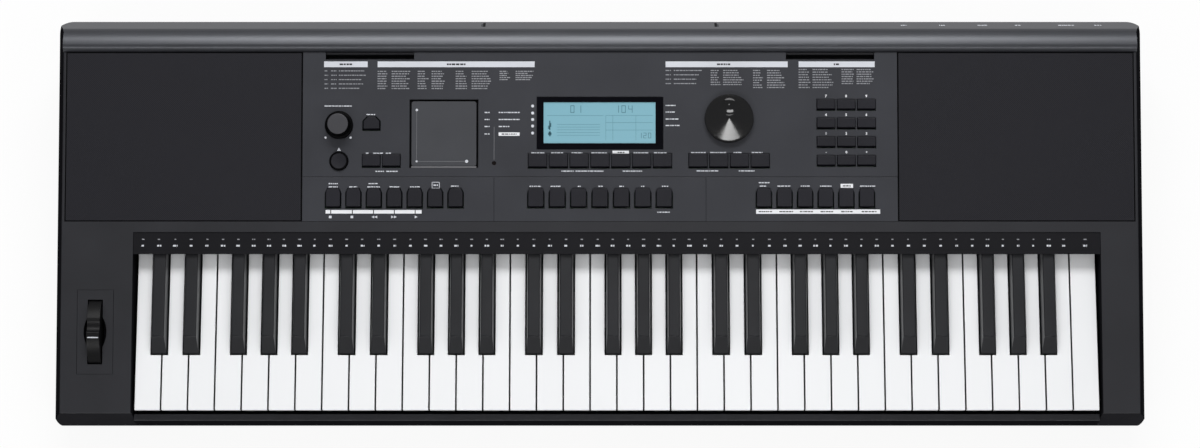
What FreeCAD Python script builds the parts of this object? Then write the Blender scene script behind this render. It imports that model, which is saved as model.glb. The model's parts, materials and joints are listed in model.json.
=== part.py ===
"""A five-octave arranger keyboard, as an assembly of its separate pieces.

Millimetres. X runs along the keyboard to the treble end, Y from the player to the rear, Z up.
The origin is on the table, under the middle of the case. The sloping top of the case has its own
frame, the deck: u along X, v up the slope from the front edge of the control panel, w out of it.
"""
import FreeCAD, Part
import math
import os
from FreeCAD import Placement, Rotation, Vector

X_AXIS, Y_AXIS, Z_AXIS = Vector(1, 0, 0), Vector(0, 1, 0), Vector(0, 0, 1)

# Clearances and the overrun of every cut
OVERRUN = 2.0
FIT_GAP = 0.3
BUTTON_CLEARANCE = 0.35
RUNNING_FIT = 0.05

# Keys
OCTAVES = 5
WHITE_PITCH = 23.5
KEY_GAP = 1.0
WHITE_REACH = 135.7
BLACK_REACH = 86.0
BLACK_RISE = 11.5
BLACK_LIP = 1.0
BLACK_NOSE_RUN = 14.0
BLACK_TAPER = 1.25
NOTCH_CLEARANCE = 1.2
KEY_BODY = 13.0
KEY_WALL = 1.8
KEY_TOP_WALL = 2.2
KEY_EDGE = 0.6
LIP_HEIGHT = 4.5
LIP_UNDERCUT = 9.0
TAIL_COVER = 4.0
TAIL_THICKNESS = 7.0
TAIL_LENGTH = 58.0
KEY_DIP_ANGLE = 3.0

# Key bed
HINGE_CLEARANCE = 0.3
RAIL_DEPTH = 9.0
RAIL_LIP = 4.5
CHASSIS_PLATE = 2.5
CHASSIS_DROP = 20.0
CHASSIS_RIB = 2.0
STOP_SETBACK = 15.0
STOP_DEPTH = 10.0
FELT_THICKNESS = 2.0
FELT_INSET = 1.0
STOP_CLEARANCE = 0.5
GUIDE_SETBACK = 38.0
BLACK_GUIDE_SETBACK = 8.0
GUIDE_DEPTH = 4.0
WHITE_GUIDE_WIDTH = 6.0
BLACK_GUIDE_WIDTH = 4.0
GUIDE_REACH = 1.0
CONTACT_SETBACK = 92.0
CONTACT_BOARD_DEPTH = 36.0
CONTACT_BOARD_DROP = 11.5
CONTACT_SHEET = 1.0
CONTACT_RIB_DEPTH = 14.0
CONTACT_RIB_TAPER = 2.0
CONTACT_CLEARANCE = 1.0
BOARD_THICKNESS = 1.6

# Case
FOOT_HEIGHT = 6.0
LOWER_CASE_HEIGHT = 22.0
KEY_STAND = 34.0
CASE_WALL = 2.5
DECK_TILT = 6.5
KEY_SETBACK = 10.3
STRIP_DEPTH = 19.2
BAND_DEPTH = 9.2
PANEL_DEPTH = 149.8
RIDGE_DEPTH = 21.3
RIDGE_RISE = 5.0
RIDGE_FALL = 6.0
RIDGE_BROW = 6.0
REAR_BEVEL_RUN = 9.5
REAR_BEVEL_DROP = 13.1
NOSE_RUN = 7.2
LEFT_BLOCK = 69.0
RIGHT_BLOCK = 39.4
BLOCK_GAP = 1.8
SIDE_BEVEL_RUN = 6.0
SIDE_BEVEL_DROP = 14.0
REAR_CORNER_RADIUS = 12.0
FRONT_CORNER_RADIUS = 3.0
UNDERCUT = 14.0
HEEL_RUN = 8.0
HEEL_RISE = 8.0
SIDE_TUCK = 9.0
CATCH_SPACING = 207.0
CATCH_WIDTH = 3.0
CATCH_HEIGHT = 5.0

# Key slip and label strip
SLIP_DROP = 12.0
SLIP_TOP_DEPTH = 6.8
SLIP_LEAN = 0.7
SLIP_SETBACK = 0.6
SLIP_EDGE_RADIUS = 2.0
STRIP_RECESS = 0.8
STRIP_THICKNESS = 2.2
STRIP_CLEARANCE = 1.4
STRIP_SEAT = 6.0
STRIP_LEDGE = 2.0

# Deck tray, control panel and grilles
RIM = 2.5
PANEL_MARGIN = 19.5
PANEL_THICKNESS = 3.0
PANEL_GAP = 0.25
DECK_THICKNESS = 2.5
DECK_LEDGE = 8.0
GROOVE_WIDTH = 0.8
GROOVE_DEPTH = 0.5
GRILLE_SHEET = 1.2
GRILLE_FLANGE = 1.5

# Speakers
SPEAKER_RADIUS = 58.0
SPEAKER_OPENING = 50.0
SPEAKER_FLANGE = 1.6
BASKET_DEPTH = 27.0
BASKET_WALL = 1.5
MAGNET_RADIUS = 30.0
MAGNET_DEPTH = 13.0
CONE_NECK_RADIUS = 14.0
CONE_DEPTH = 19.0
CONE_WALL = 1.0

# Controls: rows of buttons
BUTTON_STAND = 2.0
BUTTON_EDGE = 0.6
BUTTON_FLANGE = 0.6
FLANGE_THICKNESS = 1.2
STEM_WIDTH = 4.0
STEM_CLEARANCE = 0.3
BUTTON_TRAVEL = 1.0
BUTTON_GAP = 1.9
UPPER_ROW_V = 53.3
LOWER_ROW_V = 20.4
UPPER_ROW_HEIGHT = 13.0
LOWER_ROW_HEIGHT = 17.4
LOWER_BUTTON_GAP = 4.2
SHOULDER_RUN = 2.0
SHOULDER_DROP = 4.2
PANEL_SEAM_V = 39.3
ROW_MARGIN = 20.5
DISPLAY_ROW_COUNT = 7
DISPLAY_ROW_PITCH = 18.3
DIAL_ROW_COUNT = 4
DIAL_ROW_PITCH = 18.2
DIAL_ROW_GAP = 15.0
NUMBER_COLUMNS = 3
NUMBER_ROWS = 4
NUMBER_PITCH = 17.8
NUMBER_ROW_PITCH = 16.5
NUMBER_HEIGHT = 9.8
NUMBER_GAP = 42.0
LOWER_LEFT_COUNT = 7
LOWER_LEFT_PITCH = 17.95
LOWER_MIDDLE_COUNT = 7
LOWER_MIDDLE_PITCH = 18.8
LOWER_RIGHT_COUNT = 6
LOWER_RIGHT_PITCH = 18.1
TRANSPOSE_PITCH = 17.6
TRANSPOSE_HEIGHT = 11.6
TRANSPOSE_GAP = 8.0
EFFECT_WIDTH = 15.3
EFFECT_HEIGHT = 12.2
EFFECT_V = 86.3
EFFECT_SHOULDER_RUN = 4.0
EFFECT_SHOULDER_DROP = 4.0
POWER_RADIUS = 8.1
POWER_TRAVEL = 2.0

# Controls: knob, dial, display, touch pad
KNOB_GAP = 8.3
KNOB_V = 85.0
KNOB_RADIUS = 12.4
KNOB_CAP_RADIUS = 9.4
KNOB_HEIGHT = 14.0
KNOB_SKIRT = 2.5
KNOB_EDGE = 0.8
KNOB_POINTER_WIDTH = 1.2
KNOB_POINTER_DEPTH = 0.8
DIAL_V = 90.5
DIAL_RADIUS = 21.5
DIAL_HEIGHT = 7.0
DIAL_EDGE = 1.5
DIMPLE_REACH = 11.0
DIMPLE_RADIUS = 8.2
DIMPLE_FLOOR_RADIUS = 5.0
DIMPLE_DEPTH = 2.2
KNOB_CLEARANCE = 0.4
SPINDLE_RADIUS = 3.0
BUSH_WALL = 1.6
BUSH_CLEARANCE = 0.4
SPINDLE_REACH = 10.0
ROTARY_WIDTH = 16.0
ROTARY_HEIGHT = 7.0
DISPLAY_WIDTH = 111.5
DISPLAY_HEIGHT = 46.8
DISPLAY_V = 86.8
WINDOW_THICKNESS = 2.0
SEAT_LEDGE = 3.0
MODULE_INSET = 1.0
MODULE_DEPTH = 7.0
PAD_SIZE = 60.6
PAD_V = 77.5
PAD_GAP = 44.0
PAD_THICKNESS = 2.0
PAD_RECESS = 0.4
LAMP_U = -93.2
LAMP_V = 51.4
LAMP_RADIUS = 1.8

# Boards behind the controls
PANEL_BOARD_DROP = 9.0
PANEL_BOARD_MARGIN = 1.5
PANEL_BOARD_REAR = 12.0
PANEL_POST_WIDTH = 5.0
PANEL_POST_INSET = 5.0
MAIN_BOARD_WIDTH = 280.0
MAIN_BOARD_DEPTH = 90.0
MAIN_BOARD_REAR = 34.0
STANDOFF_HEIGHT = 8.5
STANDOFF_WIDTH = 7.0
STANDOFF_INSET = 6.0

# Music rest sockets
SLOT_SPACING = 405.6
SLOT_WIDTH = 77.8
SLOT_DEPTH = 5.0
SLOT_REACH = 14.0
SOCKET_WALL = 1.6

# Pitch wheel
WHEEL_INSET = 32.5
WHEEL_V = -97.0
WHEEL_RADIUS = 36.0
WHEEL_WIDTH = 11.2
WHEEL_DROP = 24.5
WHEEL_CUT = 8.0
WHEEL_RIM_EDGE = 0.8
WHEEL_HUB_RADIUS = 6.0
WHEEL_END_PLAY = 0.4
WHEEL_CLEARANCE = 1.0
NOTCH_RADIUS = 8.0
NOTCH_LEAD = 6.0
NOTCH_STANDOFF = 4.5
BEZEL_WIDTH = 31.4
BEZEL_LENGTH = 73.5
BEZEL_THICKNESS = 1.5
BEZEL_TUB_WALL = 2.5
BEZEL_TUB_DEPTH = 12.0
WHEEL_SLOT_WIDTH = 13.2
WHEEL_SLOT_LENGTH = 56.7
SCOOP_REACH = 10.0
SCOOP_LENGTH = 41.0
BRACKET_PLATE = 2.0
BRACKET_FLANGE = 7.0
BRACKET_GAP = 1.0
EAR_WIDTH = 16.0
AXLE_RADIUS = 3.0

# Rear connectors
SOCKET_HEIGHT = 52.0
JACK_FIRST_X = 269.0
JACK_PITCH = 34.0
JACK_COUNT = 4
JACK_BORE_RADIUS = 3.2
JACK_DEPTH = 24.0
JACK_BODY = 14.0
JACK_END = 2.0
CONNECTOR_HOLE_RADIUS = 4.6
USB_X = 405.0
USB_WIDTH = 12.0
USB_HEIGHT = 11.0
USB_DEPTH = 16.0
USB_SHELL = 0.8
INLET_X = 439.0
INLET_BODY = 13.0
INLET_DEPTH = 14.0
INLET_BORE_RADIUS = 3.2
INLET_PIN_RADIUS = 1.0
INLET_BORE_DEPTH = 10.0
INLET_PIN_SHORT = 1.5

# Feet
FOOT_RADIUS = 10.0
FOOT_INSET = 60.0
FOOT_FRONT = 52.0
FOOT_REAR = 40.0

# Derived places: the depth of the case, front to rear
TILT = math.radians(DECK_TILT)
CASE_DEPTH = (KEY_SETBACK + WHITE_REACH + STRIP_DEPTH + BAND_DEPTH + PANEL_DEPTH * math.cos(TILT)
              + RIDGE_DEPTH + REAR_BEVEL_RUN)
FRONT_Y = -CASE_DEPTH / 2
REAR_Y = CASE_DEPTH / 2
KEY_FRONT_Y = FRONT_Y + KEY_SETBACK
STRIP_FRONT_Y = KEY_FRONT_Y + WHITE_REACH
STRIP_REAR_Y = STRIP_FRONT_Y + STRIP_DEPTH
PANEL_FRONT_Y = STRIP_REAR_Y + BAND_DEPTH
RIDGE_FRONT_Y = PANEL_FRONT_Y + PANEL_DEPTH * math.cos(TILT)
RIDGE_REAR_Y = RIDGE_FRONT_Y + RIDGE_DEPTH
SLOT_FRONT_Y = RIDGE_FRONT_Y - SOCKET_WALL - SLOT_DEPTH
BLACK_FRONT_Y = STRIP_FRONT_Y - BLACK_REACH
NOTCH_Y = BLACK_FRONT_Y - NOTCH_CLEARANCE
TAIL_Y = STRIP_FRONT_Y + TAIL_COVER
HINGE_Y = STRIP_FRONT_Y + TAIL_LENGTH

# Derived heights
FLOOR_Z = FOOT_HEIGHT
SPLIT_Z = FLOOR_Z + LOWER_CASE_HEIGHT
WHITE_TOP = SPLIT_Z + KEY_STAND
BLACK_TOP = WHITE_TOP + BLACK_RISE
KEY_LOW = WHITE_TOP - KEY_BODY
HINGE_Z = KEY_LOW + TAIL_THICKNESS / 2
DIP_SLOPE = math.tan(math.radians(KEY_DIP_ANGLE))
STRIP_TOP_Z = BLACK_TOP + STRIP_CLEARANCE + (STRIP_RECESS + STRIP_THICKNESS) / math.cos(TILT)
CHASSIS_TOP = KEY_LOW - CHASSIS_DROP
CHASSIS_LOW = CHASSIS_TOP - CHASSIS_PLATE

# Derived widths
WHITE_STEPS = 7
GROUP_STEPS = 3
WHITE_COUNT = WHITE_STEPS * OCTAVES + 1
KEYS_WIDTH = WHITE_COUNT * WHITE_PITCH
KEY_SPACE = KEYS_WIDTH + 2 * BLOCK_GAP
CASE_WIDTH = LEFT_BLOCK + KEY_SPACE + RIGHT_BLOCK
HALF_WIDTH = CASE_WIDTH / 2
SPACE_LEFT = -HALF_WIDTH + LEFT_BLOCK
SPACE_RIGHT = HALF_WIDTH - RIGHT_BLOCK
KEYS_LEFT = SPACE_LEFT + BLOCK_GAP
KEYS_RIGHT = KEYS_LEFT + KEYS_WIDTH
TOP_HALF = HALF_WIDTH - SIDE_BEVEL_RUN
TRAY_HALF = TOP_HALF - RIM
SPEAKER_V = PANEL_DEPTH / 2


def plane_z(y):
    """Height of the sloping top of the case."""
    return STRIP_TOP_Z + math.tan(TILT) * (y - STRIP_FRONT_Y)


DECK = Placement(Vector(0, PANEL_FRONT_Y, plane_z(PANEL_FRONT_Y)), Rotation(X_AXIS, DECK_TILT))
STRIP_FRONT_V = (STRIP_FRONT_Y - PANEL_FRONT_Y) / math.cos(TILT)
BAND_FRONT_V = (STRIP_REAR_Y - PANEL_FRONT_Y) / math.cos(TILT)
CASE_FRONT_V = (FRONT_Y - PANEL_FRONT_Y) / math.cos(TILT)
CASE_REAR_V = (REAR_Y - PANEL_FRONT_Y) / math.cos(TILT)
BOARD_TOP_W = -PANEL_THICKNESS - PANEL_BOARD_DROP
WHEEL_U = SPACE_LEFT - WHEEL_INSET

# Derived places of the controls, group by group outwards from the middle
DISPLAY_ROW_HALF = (DISPLAY_ROW_COUNT * DISPLAY_ROW_PITCH - BUTTON_GAP) / 2
DIAL_ROW_HALF = (DIAL_ROW_COUNT * DIAL_ROW_PITCH - BUTTON_GAP) / 2
NUMBER_HALF = (NUMBER_COLUMNS * NUMBER_PITCH - BUTTON_GAP) / 2
DIAL_U = DISPLAY_ROW_HALF + DIAL_ROW_GAP + DIAL_ROW_HALF
NUMBER_U = DIAL_U + DIAL_ROW_HALF + NUMBER_GAP + NUMBER_HALF
PANEL_HALF = NUMBER_U + NUMBER_HALF + PANEL_MARGIN
PANEL_WIDTH = 2 * PANEL_HALF
SPEAKER_U = (PANEL_HALF + TRAY_HALF) / 2
PAD_U = -DISPLAY_ROW_HALF - PAD_GAP - PAD_SIZE / 2
TRANSPOSE_WIDTH = TRANSPOSE_PITCH - BUTTON_GAP
TRANSPOSE_UP_U = PAD_U - PAD_SIZE / 2 - TRANSPOSE_GAP - TRANSPOSE_WIDTH / 2
TRANSPOSE_DOWN_U = TRANSPOSE_UP_U - TRANSPOSE_PITCH
KNOB_U = TRANSPOSE_DOWN_U - TRANSPOSE_WIDTH / 2 - KNOB_GAP - KNOB_RADIUS
LOWER_LEFT_U = -PANEL_HALF + ROW_MARGIN + (LOWER_LEFT_COUNT * LOWER_LEFT_PITCH - LOWER_BUTTON_GAP) / 2
LOWER_RIGHT_U = PANEL_HALF - ROW_MARGIN - (LOWER_RIGHT_COUNT * LOWER_RIGHT_PITCH - LOWER_BUTTON_GAP) / 2


# Shared shapes

def block(x, y, z):
    """A box between a low and a high value along each axis."""
    return Part.makeBox(x[1] - x[0], y[1] - y[0], z[1] - z[0], Vector(x[0], y[0], z[0]))


def around(centre, width):
    """The low and high ends of a width about its centre."""
    return centre - width / 2, centre + width / 2


def polygon(points):
    return Part.Face(Part.makePolygon(points + points[:1]))


def prism_x(outline, x):
    """An outline of (y, z) points drawn out along X."""
    return polygon([Vector(x[0], y, z) for y, z in outline]).extrude(X_AXIS * (x[1] - x[0]))


def prism_y(outline, y):
    """An outline of (x, z) points drawn out along Y."""
    return polygon([Vector(x, y[0], z) for x, z in outline]).extrude(Y_AXIS * (y[1] - y[0]))


def prism_z(outline, z):
    """An outline of (x, y) points drawn out along Z."""
    return polygon([Vector(x, y, z[0]) for x, y in outline]).extrude(Z_AXIS * (z[1] - z[0]))


def pillar(x, y, radius, z):
    """An upright cylinder."""
    return Part.makeCylinder(radius, z[1] - z[0], Vector(x, y, z[0]))


def turned(profile, x, y):
    """A body of revolution about an upright axis, from (radius, height) points."""
    section = polygon([Vector(x + radius, y, height) for radius, height in profile])
    return section.revolve(Vector(x, y, 0), Z_AXIS, 360)


def on_deck(shape):
    """A shape drawn in u, v, w, laid on the sloping top of the case."""
    laid = shape.copy()
    laid.Placement = DECK.multiply(laid.Placement)
    return laid


def crossing(first, second):
    """Where two lines, each a normal and an offset, cross."""
    (a, b, c), (d, e, f) = first, second
    return (c * e - b * f) / (a * e - b * d), (a * f - c * d) / (a * e - b * d)


def inset(outline, distance):
    """An outline that runs counter-clockwise, with each side moved inwards."""
    lines = []
    for (ax, ay), (bx, by) in zip(outline, outline[1:] + outline[:1]):
        length = math.hypot(bx - ax, by - ay)
        normal = (ay - by) / length, (bx - ax) / length
        lines.append((*normal, normal[0] * ax + normal[1] * ay + distance))
    return [crossing(lines[index - 1], line) for index, line in enumerate(lines)]


def edges_where(shape, test):
    """The edges of a shape whose end points all pass a test."""
    return [edge for edge in shape.Edges if all(test(vertex.Point) for vertex in edge.Vertexes)]


def level(z):
    """A test for points at one height."""
    return lambda point: abs(point.z - z) < FIT_GAP / 2


# Case

def rounded_plan(z, margin):
    """The plan of the case, drawn out in height, with round corners."""
    plan = block(around(0, CASE_WIDTH - 2 * margin), (FRONT_Y + margin, REAR_Y - margin), z)
    uprights = [edge for edge in plan.Edges if abs(edge.tangentAt(edge.FirstParameter).z) > 1 / 2]
    rear = [edge for edge in uprights if edge.CenterOfMass.y > 0]
    plan = plan.makeFillet(REAR_CORNER_RADIUS - margin, rear)
    front = [edge for edge in plan.Edges if edge.CenterOfMass.y < 0
             and abs(edge.tangentAt(edge.FirstParameter).z) > 1 / 2]
    return plan.makeFillet(FRONT_CORNER_RADIUS - margin, front)


def upper_section():
    """Side view of the upper case, counter-clockwise as (y, z), with the crest of the ridge."""
    crest_z = plane_z(RIDGE_FRONT_Y) + RIDGE_RISE
    return [
        (FRONT_Y, SPLIT_Z),
        (REAR_Y, SPLIT_Z),
        (REAR_Y, crest_z - RIDGE_FALL - REAR_BEVEL_DROP),
        (RIDGE_REAR_Y, crest_z - RIDGE_FALL),
        (RIDGE_FRONT_Y + RIDGE_BROW, crest_z),
        (RIDGE_FRONT_Y, plane_z(RIDGE_FRONT_Y)),
        (FRONT_Y + NOSE_RUN, plane_z(FRONT_Y + NOSE_RUN)),
    ]


def falling_arc(crest, end):
    """An arc that leaves the crest level and falls to its end."""
    run, fall = end.y - crest.y, crest.z - end.z
    radius = (run ** 2 + fall ** 2) / (2 * fall)
    turn = math.asin(run / radius) / 2
    middle = crest + Vector(0, radius * math.sin(turn), radius * (math.cos(turn) - 1))
    return Part.Arc(crest, middle, end).toShape()


def upper_profile():
    """The side view drawn out over the width, with the ridge as two arcs."""
    points = [Vector(-HALF_WIDTH - OVERRUN, y, z) for y, z in upper_section()]
    front, rear, bevel_low, ridge_rear, crest, ridge_front, nose = points
    straight = [(ridge_front, nose), (nose, front), (front, rear), (rear, bevel_low), (bevel_low, ridge_rear)]
    edges = [Part.LineSegment(start, end).toShape() for start, end in straight]
    edges += [falling_arc(crest, ridge_rear), falling_arc(crest, ridge_front)]
    face = Part.Face(Part.Wire(Part.__sortEdges__(edges)))
    return face.extrude(X_AXIS * (CASE_WIDTH + 2 * OVERRUN))


def end_view(margin):
    """The bevelled ends of the case, seen along the deck, as (u, w) points drawn out along v."""
    rise = RIDGE_RISE + OVERRUN
    depth = plane_z(REAR_Y)
    outline = [
        (-HALF_WIDTH, -depth), (HALF_WIDTH, -depth), (HALF_WIDTH, -SIDE_BEVEL_DROP), (TOP_HALF, 0),
        (TOP_HALF, rise), (-TOP_HALF, rise), (-TOP_HALF, 0), (-HALF_WIDTH, -SIDE_BEVEL_DROP),
    ]
    return on_deck(prism_y(inset(outline, margin), (CASE_FRONT_V - depth, CASE_REAR_V + depth)))


def upper_body():
    """The outside of the upper case as one solid."""
    heights = (SPLIT_Z, plane_z(REAR_Y) + RIDGE_RISE)
    return upper_profile().common(rounded_plan(heights, 0)).common(end_view(0))


def upper_cavity():
    """The hollow of the upper case, open below."""
    outline = inset(upper_section(), CASE_WALL)
    low = SPLIT_Z - OVERRUN
    outline[0] = (outline[0][0], low)
    outline[1] = (outline[1][0], low)
    heights = (low, plane_z(REAR_Y) + RIDGE_RISE)
    hollow = prism_x(outline, around(0, CASE_WIDTH))
    return hollow.common(rounded_plan(heights, CASE_WALL)).common(end_view(CASE_WALL))


def connector_places():
    """Where the rear connectors are along X: the jacks, the USB socket and the power inlet."""
    jacks = [JACK_FIRST_X + index * JACK_PITCH for index in range(JACK_COUNT)]
    return jacks, USB_X, INLET_X


def connector_openings():
    """The holes through the rear wall for the connectors."""
    jacks, usb, inlet = connector_places()
    reach = CASE_WALL + 2 * OVERRUN
    start = REAR_Y - CASE_WALL - OVERRUN
    holes = [Part.makeCylinder(CONNECTOR_HOLE_RADIUS, reach, Vector(x, start, SOCKET_HEIGHT), Y_AXIS)
             for x in jacks + [inlet]]
    holes.append(block(around(usb, USB_WIDTH), (start, start + reach), around(SOCKET_HEIGHT, USB_HEIGHT)))
    return holes


def catch_slots():
    """The two small slots in the rear bevel."""
    middle_y = (RIDGE_REAR_Y + REAR_Y) / 2
    middle_z = plane_z(RIDGE_FRONT_Y) + RIDGE_RISE - RIDGE_FALL - REAR_BEVEL_DROP / 2
    depth = REAR_BEVEL_RUN
    return [block(around(x, CATCH_WIDTH), around(middle_y, depth), around(middle_z, CATCH_HEIGHT))
            for x in around(0, CATCH_SPACING)]


def end_block_walls(outside):
    """The walls of the end blocks that face the keys."""
    depth = (FRONT_Y, STRIP_REAR_Y)
    height = (SPLIT_Z, plane_z(STRIP_REAR_Y))
    walls = [block(x, depth, height) for x in ((SPACE_LEFT - CASE_WALL, SPACE_LEFT),
                                               (SPACE_RIGHT, SPACE_RIGHT + CASE_WALL))]
    return [wall.common(outside) for wall in walls]


def strip_seat():
    """The ledge under the rear edge of the label strip."""
    u = (SPACE_LEFT - CASE_WALL, SPACE_RIGHT + CASE_WALL)
    low = -STRIP_RECESS - STRIP_THICKNESS - STRIP_LEDGE
    under = block(u, (BAND_FRONT_V - STRIP_SEAT, BAND_FRONT_V + STRIP_SEAT), (low, low + STRIP_LEDGE))
    web = block(u, (BAND_FRONT_V, BAND_FRONT_V + STRIP_SEAT), (low, -CASE_WALL / 2))
    return [on_deck(under), on_deck(web)]


def deck_tray():
    """The floor and rim of the recess that takes the panel and the grilles."""
    wall = DECK_THICKNESS
    outside = block(around(0, 2 * (TRAY_HALF + wall)), (-wall, PANEL_DEPTH + wall),
                    (-PANEL_THICKNESS - wall, 0))
    recess = block(around(0, 2 * TRAY_HALF), (0, PANEL_DEPTH), (-PANEL_THICKNESS, OVERRUN))
    window_v = (DECK_LEDGE, PANEL_DEPTH - DECK_LEDGE)
    through = (-PANEL_THICKNESS - wall - OVERRUN, 0)
    cuts = [recess, block(around(0, PANEL_WIDTH - 2 * DECK_LEDGE), window_v, through)]
    for side in (-1, 1):
        cuts.append(pillar(side * SPEAKER_U, SPEAKER_V, SPEAKER_OPENING, through))
    for u in around(0, SLOT_SPACING):
        pocket_v = (PANEL_DEPTH - DECK_LEDGE - OVERRUN, PANEL_DEPTH)
        cuts.append(block(around(u, SLOT_WIDTH + 2 * SOCKET_WALL + 2 * FIT_GAP), pocket_v, through))
    return on_deck(outside), on_deck(outside.cut(cuts))


def top_case():
    """Upper case: a moulded shell with ridge, end blocks, deck tray and openings."""
    outside = upper_body()
    key_space = block((SPACE_LEFT, SPACE_RIGHT), (FRONT_Y - OVERRUN, STRIP_REAR_Y),
                      (SPLIT_Z - OVERRUN, plane_z(REAR_Y)))
    tray_box, tray_floor = deck_tray()
    shell = outside.cut([upper_cavity(), key_space, tray_box])
    shell = shell.fuse(end_block_walls(outside) + strip_seat() + [tray_floor])
    strip_v = (STRIP_FRONT_V, BAND_FRONT_V)
    strip_w = (-STRIP_RECESS - STRIP_THICKNESS, OVERRUN)
    cuts = [on_deck(block((SPACE_LEFT, SPACE_RIGHT), strip_v, strip_w))]
    bezel_u, bezel_v = around(WHEEL_U, BEZEL_WIDTH), around(WHEEL_V, BEZEL_LENGTH)
    tub_u, tub_v = bezel_tub(FIT_GAP)
    cuts.append(on_deck(block(widened(bezel_u), widened(bezel_v), (-BEZEL_THICKNESS, OVERRUN))))
    cuts.append(on_deck(block(tub_u, tub_v, (-CASE_WALL - OVERRUN, OVERRUN))))
    return shell.cut(cuts + connector_openings() + catch_slots()).removeSplitter()


def widened(span):
    """A span with the fitting gap added at both ends."""
    return span[0] - FIT_GAP, span[1] + FIT_GAP


def lower_body(margin, lift):
    """The lower case as one solid, with its sides moved inwards and its top raised."""
    top = SPLIT_Z + lift
    side = [(FRONT_Y + UNDERCUT, FLOOR_Z), (REAR_Y - HEEL_RUN, FLOOR_Z), (REAR_Y, FLOOR_Z + HEEL_RISE),
            (REAR_Y, SPLIT_Z), (FRONT_Y, SPLIT_Z)]
    ends = [(SIDE_TUCK - HALF_WIDTH, FLOOR_Z), (HALF_WIDTH - SIDE_TUCK, FLOOR_Z),
            (HALF_WIDTH, SPLIT_Z), (-HALF_WIDTH, SPLIT_Z)]
    side, ends = inset(side, margin), inset(ends, margin)
    side[3:] = [(side[3][0], top), (side[4][0], top)]
    ends[2:] = [(ends[2][0], top), (ends[3][0], top)]
    solid = prism_x(side, around(0, CASE_WIDTH)).common(prism_y(ends, around(0, CASE_DEPTH)))
    return solid.common(rounded_plan((FLOOR_Z, top), margin))


def board_standoffs():
    """Where the main board stands."""
    rear = REAR_Y - MAIN_BOARD_REAR
    x = around(0, MAIN_BOARD_WIDTH - 2 * STANDOFF_INSET)
    y = (rear - MAIN_BOARD_DEPTH + STANDOFF_INSET, rear - STANDOFF_INSET)
    return [(place_x, place_y) for place_x in x for place_y in y]


def bottom_case():
    """Lower case: a shallow tub with ribs under the key bed and standoffs for the main board."""
    shell = lower_body(0, 0).cut(lower_body(CASE_WALL, OVERRUN))
    rib_ys = (KEY_FRONT_Y + STOP_SETBACK + STOP_DEPTH, HINGE_Y)
    ribs = [block((KEYS_LEFT, KEYS_RIGHT), around(y, CASE_WALL), (FLOOR_Z, CHASSIS_LOW)) for y in rib_ys]
    stand = (FLOOR_Z, FLOOR_Z + CASE_WALL + STANDOFF_HEIGHT)
    standoffs = [block(around(x, STANDOFF_WIDTH), around(y, STANDOFF_WIDTH), stand)
                 for x, y in board_standoffs()]
    return shell.fuse(ribs + standoffs).removeSplitter()


def key_slip():
    """The rail in front of the keys, an angle with a rounded front edge."""
    low_y = FRONT_Y + SLIP_SETBACK
    top_y = low_y + SLIP_LEAN
    top = WHITE_TOP - SLIP_DROP
    rear_y = top_y + SLIP_TOP_DEPTH
    outline = [
        (low_y, SPLIT_Z), (low_y + CASE_WALL, SPLIT_Z), (top_y + CASE_WALL, top - CASE_WALL),
        (rear_y, top - CASE_WALL), (rear_y, top), (top_y, top),
    ]
    rail = prism_x(outline, (SPACE_LEFT + FIT_GAP, SPACE_RIGHT - FIT_GAP))
    edge = edges_where(rail, lambda point: level(top)(point) and abs(point.y - top_y) < FIT_GAP)
    return rail.makeFillet(SLIP_EDGE_RADIUS, edge)


def key_label_strip():
    """The strip behind the keys, let into the case."""
    top = -STRIP_RECESS
    return on_deck(block((SPACE_LEFT, SPACE_RIGHT), (STRIP_FRONT_V, BAND_FRONT_V),
                         (top - STRIP_THICKNESS, top)))


def rubber_feet():
    """Four feet under the lower case."""
    xs = (FOOT_INSET - HALF_WIDTH, HALF_WIDTH - FOOT_INSET)
    ys = (FRONT_Y + FOOT_FRONT, REAR_Y - FOOT_REAR)
    return [pillar(x, y, FOOT_RADIUS, (0, FOOT_HEIGHT)) for x in xs for y in ys]


# Keys

def division(octave, semitone):
    """The stretch of one semitone behind the black keys' noses."""
    start = KEYS_LEFT + octave * WHITE_STEPS * WHITE_PITCH
    group = GROUP_STEPS * WHITE_PITCH
    low_count = 2 * GROUP_STEPS - 1
    if semitone < low_count:
        step = group / low_count
        return start + semitone * step, start + (semitone + 1) * step
    high_whites = WHITE_STEPS - GROUP_STEPS
    step = high_whites * WHITE_PITCH / (2 * high_whites - 1)
    start += group
    return start + (semitone - low_count) * step, start + (semitone - low_count + 1) * step


def narrowed(span, margin):
    return span[0] + margin, span[1] - margin


def key_plan(front, rear, ys, z):
    """A white key seen from above: a wide front and a tail between its black neighbours."""
    front_y, notch_y, rear_y = ys
    right = [(front[1], front_y), (rear[1], rear_y)]
    if rear[1] < front[1] - KEY_GAP:
        right[1:1] = [(front[1], notch_y), (rear[1], notch_y)]
    left = [(rear[0], rear_y), (front[0], front_y)]
    if rear[0] > front[0] + KEY_GAP:
        left[1:1] = [(rear[0], notch_y), (front[0], notch_y)]
    return prism_z(right + left, z)


def knuckle_outline(radius):
    """The rear end of a key's tail about the hinge line: half of an octagon."""
    half_side = radius * math.tan(math.pi / 8)
    return [(HINGE_Y, HINGE_Z - radius), (HINGE_Y + half_side, HINGE_Z - radius),
            (HINGE_Y + radius, HINGE_Z - half_side), (HINGE_Y + radius, HINGE_Z + half_side),
            (HINGE_Y + half_side, HINGE_Z + radius), (HINGE_Y, HINGE_Z + radius)]


def key_tail(x):
    """The tail of a key, with the knuckle that turns in the hinge rail."""
    radius = TAIL_THICKNESS / 2
    knuckle = knuckle_outline(radius)[1:-1]
    return prism_x([(TAIL_Y, HINGE_Z - radius)] + knuckle + [(TAIL_Y, HINGE_Z + radius)], x)


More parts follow.
